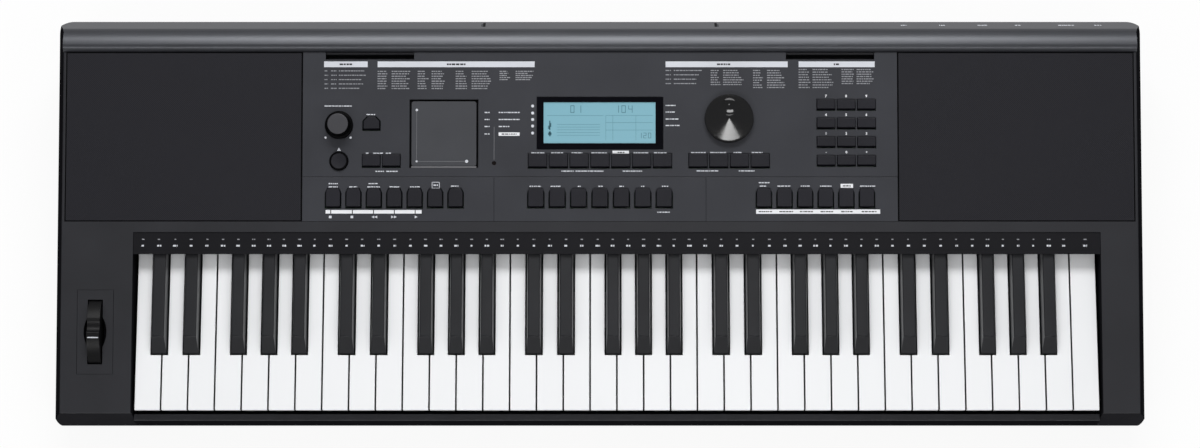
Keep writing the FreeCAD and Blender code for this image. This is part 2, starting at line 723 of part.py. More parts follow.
def white_key(front, rear):
    """A white key: a hollow moulding with an overhanging front lip, and its tail."""
    side = [
        (KEY_FRONT_Y, WHITE_TOP), (KEY_FRONT_Y, WHITE_TOP - LIP_HEIGHT),
        (KEY_FRONT_Y + LIP_UNDERCUT, KEY_LOW), (TAIL_Y, KEY_LOW), (TAIL_Y, WHITE_TOP),
    ]
    front, rear = narrowed(front, KEY_GAP / 2), narrowed(rear, KEY_GAP / 2)
    body = key_plan(front, rear, (KEY_FRONT_Y, NOTCH_Y, TAIL_Y), (KEY_LOW, WHITE_TOP))
    body = body.common(prism_x(side, front))
    hollow = key_plan(narrowed(front, KEY_WALL), narrowed(rear, KEY_WALL),
                      (KEY_FRONT_Y + LIP_UNDERCUT, NOTCH_Y - KEY_WALL, TAIL_Y - KEY_WALL),
                      (KEY_LOW - OVERRUN, WHITE_TOP - KEY_TOP_WALL))
    front_edge = [edge for edge in edges_where(body, level(WHITE_TOP))
                  if edge.CenterOfMass.y < KEY_FRONT_Y + KEY_EDGE]
    return body.makeChamfer(KEY_EDGE, front_edge).cut(hollow).fuse(key_tail(rear)).removeSplitter()


def black_key(rear):
    """A black key: tapered sides, a sloping nose, hollow below, and its tail."""
    low, high = narrowed(rear, KEY_GAP / 2)
    lip = WHITE_TOP + BLACK_LIP
    across = [(low, KEY_LOW), (high, KEY_LOW), (high, lip), (high - BLACK_TAPER, BLACK_TOP),
              (low + BLACK_TAPER, BLACK_TOP), (low, lip)]
    side = [(BLACK_FRONT_Y, KEY_LOW), (TAIL_Y, KEY_LOW), (TAIL_Y, BLACK_TOP),
            (BLACK_FRONT_Y + BLACK_NOSE_RUN, BLACK_TOP), (BLACK_FRONT_Y, lip)]
    body = prism_y(across, (BLACK_FRONT_Y, TAIL_Y)).common(prism_x(side, (low, high)))
    top_edges = [edge for edge in edges_where(body, level(BLACK_TOP))
                 if edge.CenterOfMass.y < TAIL_Y - KEY_EDGE]
    hollow_y = (BLACK_FRONT_Y + BLACK_NOSE_RUN, TAIL_Y - KEY_WALL)
    hollow = block(narrowed((low, high), BLACK_TAPER + KEY_WALL), hollow_y,
                   (KEY_LOW - OVERRUN, BLACK_TOP - KEY_TOP_WALL))
    return body.makeChamfer(KEY_EDGE, top_edges).cut(hollow).fuse(key_tail((low, high))).removeSplitter()


def white_semitone(index):
    """Semitones from C up to a white key, with no black key between the two groups."""
    return 2 * index - int(index >= GROUP_STEPS)


def black_semitones():
    """Semitones from C up to each black key."""
    last_whites = (GROUP_STEPS - 1, WHITE_STEPS - 1)
    return [white_semitone(index) + 1 for index in range(WHITE_STEPS) if index not in last_whites]


def white_in_octave(octave, index):
    left = KEYS_LEFT + (octave * WHITE_STEPS + index) * WHITE_PITCH
    return white_key((left, left + WHITE_PITCH), division(octave, white_semitone(index)))


def last_key():
    """The top C, which has no black neighbour."""
    span = (KEYS_RIGHT - WHITE_PITCH, KEYS_RIGHT)
    return white_key(span, span)


def key_combs():
    """The keys as the mouldings they come in: three combs in each octave."""
    combs = {}
    for octave in range(OCTAVES):
        number = octave + 1
        whites = [white_in_octave(octave, index) for index in range(WHITE_STEPS)]
        combs[f"keys_c_e_g_b_{number}"] = whites[0::2]
        combs[f"keys_d_f_a_{number}"] = whites[1::2]
        combs[f"keys_black_{number}"] = [black_key(division(octave, tone)) for tone in black_semitones()]
    combs[f"keys_c_e_g_b_{OCTAVES}"].append(last_key())
    return combs


# Key bed

def dip(y):
    """How far a key's underside goes down at one place when it is pressed."""
    return (HINGE_Y - y) * DIP_SLOPE


STOP_FRONT_Y = KEY_FRONT_Y + STOP_SETBACK
STOP_TOP = KEY_LOW - dip(STOP_FRONT_Y) - STOP_CLEARANCE
CONTACT_Y = KEY_FRONT_Y + CONTACT_SETBACK
CONTACT_TOP = KEY_LOW - CONTACT_BOARD_DROP
CONTACT_RIB_TOP = KEY_LOW - dip(CONTACT_Y - CONTACT_RIB_DEPTH / 2) - CONTACT_CLEARANCE


def key_middles():
    """The middle of every white and every black key, for the guide posts."""
    whites = [KEYS_LEFT + (index + 1 / 2) * WHITE_PITCH for index in range(WHITE_COUNT)]
    blacks = [sum(division(octave, tone)) / 2 for octave in range(OCTAVES) for tone in black_semitones()]
    return whites, blacks


def keybed_chassis():
    """The key bed: plate, stop rail, contact ribs, hinge rail with its trough, and guide posts."""
    x = (KEYS_LEFT, KEYS_RIGHT)
    rail_y = (HINGE_Y, HINGE_Y + RAIL_DEPTH)
    plate = block(x, (STOP_FRONT_Y, rail_y[1]), (CHASSIS_LOW, CHASSIS_TOP))
    shelf = STOP_TOP - FELT_THICKNESS
    stop = block(x, (STOP_FRONT_Y, STOP_FRONT_Y + STOP_DEPTH), (CHASSIS_TOP, shelf))
    knuckle = TAIL_THICKNESS / 2 + HINGE_CLEARANCE
    rail = block(x, rail_y, (CHASSIS_TOP, HINGE_Z + knuckle + RAIL_LIP))
    trough = prism_x(knuckle_outline(knuckle), x)
    ribs = [block(x, around(y, CHASSIS_RIB), (CHASSIS_TOP, CONTACT_TOP - BOARD_THICKNESS))
            for y in around(CONTACT_Y, CONTACT_BOARD_DEPTH - 2 * CHASSIS_RIB)]
    whites, blacks = key_middles()
    post_z = (CHASSIS_TOP, KEY_LOW + GUIDE_REACH)
    white_y = around(KEY_FRONT_Y + GUIDE_SETBACK, GUIDE_DEPTH)
    black_y = around(BLACK_FRONT_Y + BLACK_NOSE_RUN + BLACK_GUIDE_SETBACK, GUIDE_DEPTH)
    posts = [block(around(middle, WHITE_GUIDE_WIDTH), white_y, post_z) for middle in whites]
    posts += [block(around(middle, BLACK_GUIDE_WIDTH), black_y, post_z) for middle in blacks]
    return plate.fuse([stop, rail.cut(trough)] + ribs + posts).removeSplitter()


def key_stop_felts():
    """The felt that the keys land on."""
    y = narrowed((STOP_FRONT_Y, STOP_FRONT_Y + STOP_DEPTH), FELT_INSET)
    return block((KEYS_LEFT, KEYS_RIGHT), y, (STOP_TOP - FELT_THICKNESS, STOP_TOP))


def key_contact_board():
    """The circuit board under the keys."""
    y = around(CONTACT_Y, CONTACT_BOARD_DEPTH)
    return block((KEYS_LEFT, KEYS_RIGHT), y, (CONTACT_TOP - BOARD_THICKNESS, CONTACT_TOP))


def key_contact_strip():
    """The rubber strip over the contacts: a sheet with a raised rib that the keys press."""
    sheet_y = around(CONTACT_Y, CONTACT_BOARD_DEPTH - 2 * CHASSIS_RIB)
    rib_y = around(CONTACT_Y, CONTACT_RIB_DEPTH)
    sheet_top = CONTACT_TOP + CONTACT_SHEET
    outline = [(sheet_y[0], CONTACT_TOP), (sheet_y[1], CONTACT_TOP), (sheet_y[1], sheet_top),
               (rib_y[1], sheet_top), (rib_y[1] - CONTACT_RIB_TAPER, CONTACT_RIB_TOP),
               (rib_y[0] + CONTACT_RIB_TAPER, CONTACT_RIB_TOP),
               (rib_y[0], sheet_top), (sheet_y[0], sheet_top)]
    return prism_x(outline, (KEYS_LEFT, KEYS_RIGHT))


# Buttons

class Button:
    """One button: its place on the panel, its size, and the slant of its upper corners."""

    def __init__(self, u, v, width, height, shoulder=None):
        self.u, self.v, self.width, self.height = u, v, width, height
        self.shoulder = shoulder

    def outline(self, margin):
        """The button seen from above, widened by a margin."""
        u = around(self.u, self.width + 2 * margin)
        v = around(self.v, self.height + 2 * margin)
        if self.shoulder is None:
            return [(u[0], v[0]), (u[1], v[0]), (u[1], v[1]), (u[0], v[1])]
        run, drop = self.shoulder
        return [(u[0], v[0]), (u[1], v[0]), (u[1], v[1] - drop), (u[1] - run, v[1]), (u[0] + run, v[1]),
                (u[0], v[1] - drop)]

    def solid(self, travel):
        """Cap, retaining flange under the panel and stem over the contact on the board."""
        cap = prism_z(self.outline(0), (-PANEL_THICKNESS - FIT_GAP, BUTTON_STAND))
        cap = cap.makeChamfer(BUTTON_EDGE, edges_where(cap, level(BUTTON_STAND)))
        flange_top = -PANEL_THICKNESS - FIT_GAP
        flange_low = flange_top - FLANGE_THICKNESS
        flange = block(around(self.u, self.width), around(self.v, self.height + 2 * BUTTON_FLANGE),
                       (flange_low, flange_top))
        stem_low = BOARD_TOP_W + STEM_CLEARANCE + travel
        stem = block(around(self.u, STEM_WIDTH), around(self.v, STEM_WIDTH), (stem_low, flange_low))
        return cap.fuse([flange, stem]).removeSplitter()

    def hole(self):
        """The hole in the panel for one button."""
        return prism_z(self.outline(BUTTON_CLEARANCE), (-PANEL_THICKNESS - OVERRUN, OVERRUN))


class RoundButton(Button):
    """A round button."""

    def __init__(self, u, v, radius):
        super().__init__(u, v, 2 * radius, 2 * radius)
        self.radius = radius

    def solid(self, travel):
        flange_low = -PANEL_THICKNESS - FIT_GAP - FLANGE_THICKNESS
        cap = pillar(self.u, self.v, self.radius, (flange_low, BUTTON_STAND))
        cap = cap.makeChamfer(BUTTON_EDGE, edges_where(cap, level(BUTTON_STAND)))
        flange = pillar(self.u, self.v, self.radius + BUTTON_FLANGE, (flange_low, -PANEL_THICKNESS - FIT_GAP))
        stem_low = BOARD_TOP_W + STEM_CLEARANCE + travel
        stem = block(around(self.u, STEM_WIDTH), around(self.v, STEM_WIDTH), (stem_low, flange_low))
        return cap.fuse([flange, stem]).removeSplitter()

    def hole(self):
        return pillar(self.u, self.v, self.radius + BUTTON_CLEARANCE, (-PANEL_THICKNESS - OVERRUN, OVERRUN))


def button_row(middle, v, pitch, count, gap, height, shoulder=None):
    """A row of equal buttons about its middle."""
    first = middle - (count - 1) / 2 * pitch
    return [Button(first + index * pitch, v, pitch - gap, height, shoulder) for index in range(count)]


def button_groups():
    """Every button of the panel, by the piece it belongs to."""
    slant = (SHOULDER_RUN, SHOULDER_DROP)
    lower = LOWER_BUTTON_GAP
    numbers = []
    for row in range(NUMBER_ROWS):
        numbers += button_row(NUMBER_U, UPPER_ROW_V + row * NUMBER_ROW_PITCH, NUMBER_PITCH, NUMBER_COLUMNS,
                              BUTTON_GAP, NUMBER_HEIGHT)
    transpose = [[Button(u, UPPER_ROW_V, TRANSPOSE_WIDTH, TRANSPOSE_HEIGHT)]
                 for u in (TRANSPOSE_DOWN_U, TRANSPOSE_UP_U)]
    return {
        "power_button": [RoundButton(KNOB_U, UPPER_ROW_V, POWER_RADIUS)],
        "effect_button": [Button(TRANSPOSE_DOWN_U, EFFECT_V, EFFECT_WIDTH, EFFECT_HEIGHT,
                                 (EFFECT_SHOULDER_RUN, EFFECT_SHOULDER_DROP))],
        "transpose_down_button": transpose[0],
        "transpose_up_button": transpose[1],
        "display_row_buttons": button_row(0, UPPER_ROW_V, DISPLAY_ROW_PITCH, DISPLAY_ROW_COUNT, BUTTON_GAP,
                                          UPPER_ROW_HEIGHT),
        "dial_row_buttons": button_row(DIAL_U, UPPER_ROW_V, DIAL_ROW_PITCH, DIAL_ROW_COUNT, BUTTON_GAP,
                                       UPPER_ROW_HEIGHT),
        "number_buttons": numbers,
        "lower_left_buttons": button_row(LOWER_LEFT_U, LOWER_ROW_V, LOWER_LEFT_PITCH, LOWER_LEFT_COUNT, lower,
                                         LOWER_ROW_HEIGHT, slant),
        "lower_middle_buttons": button_row(0, LOWER_ROW_V, LOWER_MIDDLE_PITCH, LOWER_MIDDLE_COUNT, lower,
                                           LOWER_ROW_HEIGHT, slant),
        "lower_right_buttons": button_row(LOWER_RIGHT_U, LOWER_ROW_V, LOWER_RIGHT_PITCH, LOWER_RIGHT_COUNT,
                                          lower, LOWER_ROW_HEIGHT, slant),
    }


def row_slot(buttons):
    """One slot in the panel for buttons that stand side by side."""
    reach = BUTTON_CLEARANCE
    first, last = buttons[0], buttons[-1]
    u = (first.u - first.width / 2 - reach, last.u + last.width / 2 + reach)
    return block(u, around(first.v, first.height + 2 * reach), (-PANEL_THICKNESS - OVERRUN, OVERRUN))


def button_holes():
    """The openings of the panel: a slot for each close row, a hole for every other button."""
    groups = button_groups()
    numbers = groups.pop("number_buttons")
    rows = [numbers[start:start + NUMBER_COLUMNS] for start in range(0, len(numbers), NUMBER_COLUMNS)]
    rows.append(groups.pop("transpose_down_button") + groups.pop("transpose_up_button"))
    rows += [groups.pop("display_row_buttons"), groups.pop("dial_row_buttons")]
    return [row_slot(row) for row in rows] + [button.hole() for group in groups.values() for button in group]


def button_nodes():
    """The buttons of each group, laid on the deck."""
    nodes = {}
    for name, buttons in button_groups().items():
        travel = POWER_TRAVEL if name == "power_button" else BUTTON_TRAVEL
        nodes[name] = [on_deck(button.solid(travel)) for button in buttons]
    return nodes


# Control panel

def panel_posts():
    """Where the panel board hangs from the panel."""
    u = PANEL_HALF - DECK_LEDGE - PANEL_BOARD_MARGIN - PANEL_POST_INSET
    low_v = DECK_LEDGE + PANEL_BOARD_MARGIN + PANEL_POST_INSET
    high_v = PANEL_DEPTH - PANEL_BOARD_REAR - PANEL_POST_INSET
    return [(place_u, place_v) for place_u in (-u, u) for place_v in (low_v, high_v)]


def seat_cuts(u, v, width, height, depth):
    """A recess for an inlaid plate, with a smaller window that leaves a ledge."""
    recess = block(around(u, width), around(v, height), (-depth, OVERRUN))
    window = block(around(u, width - 2 * SEAT_LEDGE), around(v, height - 2 * SEAT_LEDGE),
                   (-PANEL_THICKNESS - OVERRUN, 0))
    return [recess, window]


def music_rest_slot(x, low):
    """The room that one leg of a music rest takes up."""
    return block(around(x, SLOT_WIDTH), (SLOT_FRONT_Y, SLOT_FRONT_Y + SLOT_DEPTH), (low, plane_z(REAR_Y)))


def panel_grooves():
    """The parting grooves between the lower row and the rest, and around the lower middle row."""
    w = (-GROOVE_DEPTH, OVERRUN)
    across = block(around(0, PANEL_WIDTH + OVERRUN), around(PANEL_SEAM_V, GROOVE_WIDTH), w)
    uprights = [block(around(u, GROOVE_WIDTH), (-OVERRUN, PANEL_SEAM_V), w) for u in (LAMP_U, -LAMP_U)]
    return [across] + uprights


def control_panel():
    """The panel: a plate with holes for every control and posts for its board."""
    v = narrowed((0, PANEL_DEPTH), PANEL_GAP)
    plate = block(around(0, PANEL_WIDTH - 2 * PANEL_GAP), v, (-PANEL_THICKNESS, 0))
    posts = [block(around(place_u, PANEL_POST_WIDTH), around(place_v, PANEL_POST_WIDTH),
                   (BOARD_TOP_W, -PANEL_THICKNESS)) for place_u, place_v in panel_posts()]
    cuts = button_holes() + seat_cuts(0, DISPLAY_V, DISPLAY_WIDTH, DISPLAY_HEIGHT, WINDOW_THICKNESS)
    cuts += seat_cuts(PAD_U, PAD_V, PAD_SIZE, PAD_SIZE, PAD_THICKNESS + PAD_RECESS)
    through = (-PANEL_THICKNESS - OVERRUN, OVERRUN)
    bush = SPINDLE_RADIUS + RUNNING_FIT + BUSH_WALL
    for place_u, place_v in ((KNOB_U, KNOB_V), (DIAL_U, DIAL_V)):
        cuts.append(pillar(place_u, place_v, bush + BUSH_CLEARANCE, through))
    cuts.append(pillar(LAMP_U, LAMP_V, LAMP_RADIUS + RUNNING_FIT, through))
    panel = on_deck(plate.fuse(posts).cut(cuts + panel_grooves()))
    notches = [block(around(x, SLOT_WIDTH), (SLOT_FRONT_Y, REAR_Y), (0, plane_z(REAR_Y)))
               for x in around(0, SLOT_SPACING)]
    return panel.cut(notches).removeSplitter()


def speaker_grille(side):
    """A grille: a thin sheet with a flange turned down all round."""
    u = sorted((side * (PANEL_HALF + PANEL_GAP), side * (TRAY_HALF - PANEL_GAP)))
    v = narrowed((0, PANEL_DEPTH), PANEL_GAP)
    plate = block(u, v, (-PANEL_THICKNESS, 0))
    hollow = block(narrowed(u, GRILLE_FLANGE), narrowed(v, GRILLE_FLANGE),
                   (-PANEL_THICKNESS - OVERRUN, -GRILLE_SHEET))
    return on_deck(plate.cut(hollow))


def display_window():
    """The clear window of the display, let into the panel."""
    return on_deck(block(around(0, DISPLAY_WIDTH - 2 * PANEL_GAP),
                         around(DISPLAY_V, DISPLAY_HEIGHT - 2 * PANEL_GAP), (-WINDOW_THICKNESS, 0)))


def display_module():
    """The display behind the window."""
    w = (-PANEL_THICKNESS - MODULE_DEPTH, -PANEL_THICKNESS)
    return on_deck(block(around(0, DISPLAY_WIDTH - 2 * MODULE_INSET),
                         around(DISPLAY_V, DISPLAY_HEIGHT - 2 * MODULE_INSET), w))


def touch_pad():
    """The square pad, a little below the panel."""
    size = PAD_SIZE - 2 * PANEL_GAP
    return on_deck(block(around(PAD_U, size), around(PAD_V, size),
                         (-PAD_RECESS - PAD_THICKNESS, -PAD_RECESS)))


def indicator_lamp():
    """A small lamp in the panel, on the board behind it."""
    return on_deck(pillar(LAMP_U, LAMP_V, LAMP_RADIUS, (BOARD_TOP_W, 0)))


def panel_board():
    """The circuit board behind the panel."""
    u = around(0, PANEL_WIDTH - 2 * DECK_LEDGE - 2 * PANEL_BOARD_MARGIN)
    v = (DECK_LEDGE + PANEL_BOARD_MARGIN, PANEL_DEPTH - PANEL_BOARD_REAR)
    return on_deck(block(u, v, (BOARD_TOP_W - BOARD_THICKNESS, BOARD_TOP_W)))


def rotary(u, v):
    """A potentiometer or encoder on the panel board, with its bush through the panel."""
    body_top = BOARD_TOP_W + ROTARY_HEIGHT
    bore = SPINDLE_RADIUS + RUNNING_FIT
    body = block(around(u, ROTARY_WIDTH), around(v, ROTARY_WIDTH), (BOARD_TOP_W, body_top))
    bush = pillar(u, v, bore + BUSH_WALL, (body_top, 0))
    hole = pillar(u, v, bore, (-SPINDLE_REACH - FIT_GAP, OVERRUN))
    return on_deck(body.fuse(bush).cut(hole).removeSplitter())


def spindle(u, v, top):
    """The spindle that carries a knob in its bush."""
    return pillar(u, v, SPINDLE_RADIUS, (-SPINDLE_REACH, top))


def volume_knob():
    """The volume knob: a skirt, a tapered grip and a pointer groove, on its spindle."""
    low = KNOB_CLEARANCE
    profile = [
        (0, low), (KNOB_RADIUS, low), (KNOB_RADIUS, low + KNOB_SKIRT),
        (KNOB_CAP_RADIUS + KNOB_EDGE, low + KNOB_SKIRT), (KNOB_CAP_RADIUS, KNOB_HEIGHT - KNOB_EDGE),
        (KNOB_CAP_RADIUS - KNOB_EDGE, KNOB_HEIGHT), (0, KNOB_HEIGHT),
    ]
    knob = turned(profile, KNOB_U, KNOB_V).fuse(spindle(KNOB_U, KNOB_V, low))
    pointer = block(around(KNOB_U, KNOB_POINTER_WIDTH), (KNOB_V, KNOB_V + KNOB_CAP_RADIUS + KNOB_EDGE),
                    (KNOB_HEIGHT - KNOB_POINTER_DEPTH, KNOB_HEIGHT + OVERRUN))
    return on_deck(knob.cut(pointer).removeSplitter())


def data_dial():
    """The data dial: a low disc with a finger dimple, on its spindle."""
    low = KNOB_CLEARANCE
    profile = [
        (0, low), (DIAL_RADIUS, low), (DIAL_RADIUS, DIAL_HEIGHT - DIAL_EDGE),
        (DIAL_RADIUS - DIAL_EDGE, DIAL_HEIGHT),
        (0, DIAL_HEIGHT),
    ]
    disc = turned(profile, DIAL_U, DIAL_V).fuse(spindle(DIAL_U, DIAL_V, low))
    slope = (DIMPLE_RADIUS - DIMPLE_FLOOR_RADIUS) / DIMPLE_DEPTH
    dimple = Part.makeCone(DIMPLE_FLOOR_RADIUS, DIMPLE_RADIUS + slope * OVERRUN, DIMPLE_DEPTH + OVERRUN,
                           Vector(DIAL_U, DIAL_V + DIMPLE_REACH, DIAL_HEIGHT - DIMPLE_DEPTH))
    return on_deck(disc.cut(dimple).removeSplitter())


def music_rest_sockets():
    """Two upright open pockets behind the slots, for the legs of a music rest."""
    low = plane_z(SLOT_FRONT_Y) - PANEL_THICKNESS - SLOT_REACH
    under_panel = on_deck(block(around(0, CASE_WIDTH), (0, PANEL_DEPTH), (-CASE_DEPTH, -PANEL_THICKNESS)))
    pockets = []
    for x in around(0, SLOT_SPACING):
        outside = block(around(x, SLOT_WIDTH + 2 * SOCKET_WALL), (SLOT_FRONT_Y - SOCKET_WALL, RIDGE_FRONT_Y),
                        (low - SOCKET_WALL, plane_z(RIDGE_FRONT_Y)))
        pockets.append(outside.common(under_panel).cut(music_rest_slot(x, low)))
    return pockets


# Speakers

def speaker_basket(side):
    """A speaker's frame with its flange and magnet, hung under the deck."""
    top = -PANEL_THICKNESS - DECK_THICKNESS
    low = top - BASKET_DEPTH
    profile = [
        (SPEAKER_RADIUS, top), (SPEAKER_RADIUS, top - SPEAKER_FLANGE),
        (MAGNET_RADIUS, low), (MAGNET_RADIUS, low - MAGNET_DEPTH), (0, low - MAGNET_DEPTH), (0, low),
        (SPEAKER_OPENING - BASKET_WALL, top),
    ]
    return on_deck(turned(profile, side * SPEAKER_U, SPEAKER_V))


def speaker_cone(side):
    """A speaker's cone with its dust cap, a thin shell seated in the frame's rim."""
    top = -PANEL_THICKNESS - DECK_THICKNESS
    rim = SPEAKER_OPENING - BASKET_WALL - FIT_GAP
    neck = top - CONE_DEPTH
    profile = [(rim, top), (CONE_NECK_RADIUS, neck), (0, neck), (0, neck + CONE_WALL),
               (CONE_NECK_RADIUS, neck + CONE_WALL), (rim - 2 * CONE_WALL, top)]
    return on_deck(turned(profile, side * SPEAKER_U, SPEAKER_V))


# Pitch wheel, drawn about its own middle on the deck

def bezel_tub(margin):
    """The spans of the tub under the bezel."""
    width = 2 * (SCOOP_REACH + BEZEL_TUB_WALL) + 2 * margin
    return around(WHEEL_U, width), around(WHEEL_V, WHEEL_SLOT_LENGTH + 2 * BEZEL_TUB_WALL + 2 * margin)


def finger_scoop():
    """The hollow beside the wheel: an arc turned about a line along v."""
    half = SCOOP_LENGTH / 2
    start, end = Vector(WHEEL_U, WHEEL_V - half, 0), Vector(WHEEL_U, WHEEL_V + half, 0)
    arc = Part.Arc(start, Vector(WHEEL_U + SCOOP_REACH, WHEEL_V, 0), end).toShape()
    face = Part.Face(Part.Wire([arc, Part.LineSegment(end, start).toShape()]))
    return face.revolve(start, Y_AXIS, 360)


def wheel_bezel():
    """The plate round the wheel, with a tub that holds the slot and the finger scoops."""
    plate = block(around(WHEEL_U, BEZEL_WIDTH), around(WHEEL_V, BEZEL_LENGTH), (-BEZEL_THICKNESS, 0))
    tub = block(*bezel_tub(0), (-BEZEL_TUB_DEPTH, 0))
    slot = block(around(WHEEL_U, WHEEL_SLOT_WIDTH), around(WHEEL_V, WHEEL_SLOT_LENGTH),
                 (-BEZEL_TUB_DEPTH - OVERRUN, OVERRUN))
    wheel_room = axle_bar(WHEEL_RADIUS + WHEEL_CLEARANCE, WHEEL_SLOT_WIDTH / 2)
    return on_deck(plate.fuse(tub).cut([slot, wheel_room, finger_scoop()]).removeSplitter())


EAR_INNER = SCOOP_REACH + BEZEL_TUB_WALL + BRACKET_GAP


def wheel_bracket():
    """A frame under the end block with two ears that hold the axle."""
    top = -CASE_WALL
    tub_u, tub_v = bezel_tub(BRACKET_GAP)
    outer_u = around(WHEEL_U, 2 * (EAR_INNER + BRACKET_FLANGE))
    outer_v = (tub_v[0] - BRACKET_FLANGE, tub_v[1] + BRACKET_FLANGE)
    frame = block(outer_u, outer_v, (top - BRACKET_PLATE, top))
    frame = frame.cut(block(tub_u, tub_v, (top - BRACKET_PLATE - OVERRUN, 0)))
    ears = []
    for side in (-1, 1):
        u = sorted((WHEEL_U + side * EAR_INNER, WHEEL_U + side * (EAR_INNER + BRACKET_PLATE)))
        ears.append(block(u, around(WHEEL_V, EAR_WIDTH), (-WHEEL_DROP - EAR_WIDTH / 2, top)))
    bore = axle_bar(AXLE_RADIUS, EAR_INNER + BRACKET_PLATE + OVERRUN)
    return on_deck(frame.fuse(ears).cut(bore).removeSplitter())


def axle_bar(radius, half_length):
    """A bar along the wheel's axis."""
    start = Vector(WHEEL_U - half_length, WHEEL_V, -WHEEL_DROP)
    return Part.makeCylinder(radius, 2 * half_length, start, X_AXIS)


def wheel_axle():
    """The pin of the pitch wheel, pressed into the ears."""
    return on_deck(axle_bar(AXLE_RADIUS, EAR_INNER + BRACKET_PLATE))


def pitch_wheel():
    """The pitch wheel: a half disc with a thumb notch and a long hub on the axle."""
    disc = axle_bar(WHEEL_RADIUS, WHEEL_WIDTH / 2)
    disc = disc.makeChamfer(WHEEL_RIM_EDGE, [edge for edge in disc.Edges if edge.Length > WHEEL_RADIUS
                                             and len(edge.Vertexes) == 1])
    floor_w = -WHEEL_DROP - WHEEL_CUT
    below = block(around(WHEEL_U, 2 * WHEEL_WIDTH), around(WHEEL_V, 3 * WHEEL_RADIUS),
                  (floor_w - WHEEL_RADIUS, floor_w))
    notch = Part.makeCylinder(NOTCH_RADIUS, 2 * WHEEL_WIDTH, Vector(
        WHEEL_U - WHEEL_WIDTH, WHEEL_V + NOTCH_LEAD, -WHEEL_DROP + WHEEL_RADIUS + NOTCH_STANDOFF), X_AXIS)
    hub = axle_bar(WHEEL_HUB_RADIUS, EAR_INNER - WHEEL_END_PLAY)
    bore = axle_bar(AXLE_RADIUS + RUNNING_FIT, EAR_INNER + OVERRUN)
    return on_deck(disc.cut([below, notch]).fuse(hub).cut(bore).removeSplitter())


# Boards and rear connectors

def main_board():
    """The main circuit board on its standoffs."""
    low = FLOOR_Z + CASE_WALL + STANDOFF_HEIGHT
    y = (REAR_Y - MAIN_BOARD_REAR - MAIN_BOARD_DEPTH, REAR_Y - MAIN_BOARD_REAR)
    return block(around(0, MAIN_BOARD_WIDTH), y, (low, low + BOARD_THICKNESS))


def behind_wall(depth):
    """The stretch behind the rear wall that a connector takes up."""
    inner = REAR_Y - CASE_WALL
    return inner - depth, inner


def connector_nose(x):
    """The round nose of a connector, which fills its hole in the rear wall."""
    start = Vector(x, REAR_Y - CASE_WALL, SOCKET_HEIGHT)
    return Part.makeCylinder(CONNECTOR_HOLE_RADIUS - FIT_GAP, CASE_WALL, start, Y_AXIS)


def audio_jacks():
    """Jack sockets: a body behind the rear wall, a nose through it, and a blind bore."""
    jacks = connector_places()[0]
    y = behind_wall(JACK_DEPTH + JACK_END)
    solids = []
    for x in jacks:
        body = block(around(x, JACK_BODY), y, around(SOCKET_HEIGHT, JACK_BODY))
        bore = Part.makeCylinder(JACK_BORE_RADIUS, JACK_DEPTH + CASE_WALL + OVERRUN,
                                 Vector(x, y[1] - JACK_DEPTH, SOCKET_HEIGHT), Y_AXIS)
        solids.append(body.fuse(connector_nose(x)).cut(bore))
    return solids


def usb_socket():
    """A socket in a metal shell."""
    y = behind_wall(USB_DEPTH)
    shell = block(around(USB_X, USB_WIDTH + 2 * USB_SHELL), y,
                  around(SOCKET_HEIGHT, USB_HEIGHT + 2 * USB_SHELL))
    hollow = block(around(USB_X, USB_WIDTH), (y[0] + USB_SHELL, y[1] + OVERRUN),
                   around(SOCKET_HEIGHT, USB_HEIGHT))
    return shell.cut(hollow)


def dc_inlet():
    """The power inlet: a round socket with its nose and its centre pin."""
    y = behind_wall(INLET_DEPTH)
    body = block(around(INLET_X, INLET_BODY), y, around(SOCKET_HEIGHT, INLET_BODY))
    start = Vector(INLET_X, y[1] - INLET_BORE_DEPTH, SOCKET_HEIGHT)
    bore = Part.makeCylinder(INLET_BORE_RADIUS, INLET_BORE_DEPTH + CASE_WALL + OVERRUN, start, Y_AXIS)
    pin = Part.makeCylinder(INLET_PIN_RADIUS, INLET_BORE_DEPTH - INLET_PIN_SHORT, start, Y_AXIS)
    return body.fuse(connector_nose(INLET_X)).cut(bore).fuse(pin).removeSplitter()


def nodes():
    """Every piece by name."""
    pieces = {
        "bottom_case": bottom_case(),
        "top_case": top_case(),
        "control_panel": control_panel(),
        "key_slip": key_slip(),
        "key_label_strip": key_label_strip(),
        "speaker_grille_left": speaker_grille(-1),
        "speaker_grille_right": speaker_grille(1),
        "speaker_baskets": [speaker_basket(side) for side in (-1, 1)],
        "speaker_cones": [speaker_cone(side) for side in (-1, 1)],
        "display_window": display_window(),
        "display_module": display_module(),
        "touch_pad": touch_pad(),
        "indicator_lamp": indicator_lamp(),
        "music_rest_sockets": music_rest_sockets(),
        "keybed_chassis": keybed_chassis(),
        "key_contact_board": key_contact_board(),
        "key_contact_strip": key_contact_strip(),
        "key_stop_felts": key_stop_felts(),
        "main_board": main_board(),
        "panel_board": panel_board(),
        "volume_pot": rotary(KNOB_U, KNOB_V),
        "dial_encoder": rotary(DIAL_U, DIAL_V),
        "wheel_bracket": wheel_bracket(),
        "wheel_axle": wheel_axle(),
        "wheel_bezel": wheel_bezel(),
        "audio_jacks": audio_jacks(),
        "usb_socket": usb_socket(),
        "dc_inlet": dc_inlet(),
        "rubber_feet": rubber_feet(),
        "volume_knob": volume_knob(),
        "data_dial": data_dial(),
        "pitch_wheel": pitch_wheel(),
    }
    pieces.update(button_nodes())
    pieces.update(key_combs())
    return pieces


def main():
    os.makedirs("parts", exist_ok=True)
    for name, piece in nodes().items():
        shape = Part.makeCompound(piece) if isinstance(piece, list) else piece
        shape.exportStep(f"parts/{name}.step")
        print(name, len(shape.Solids), shape.isValid(), round(shape.Volume))


if __name__ == "__main__":
    main()
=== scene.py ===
"""The looks of an arranger keyboard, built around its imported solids."""
import json
import math
import random

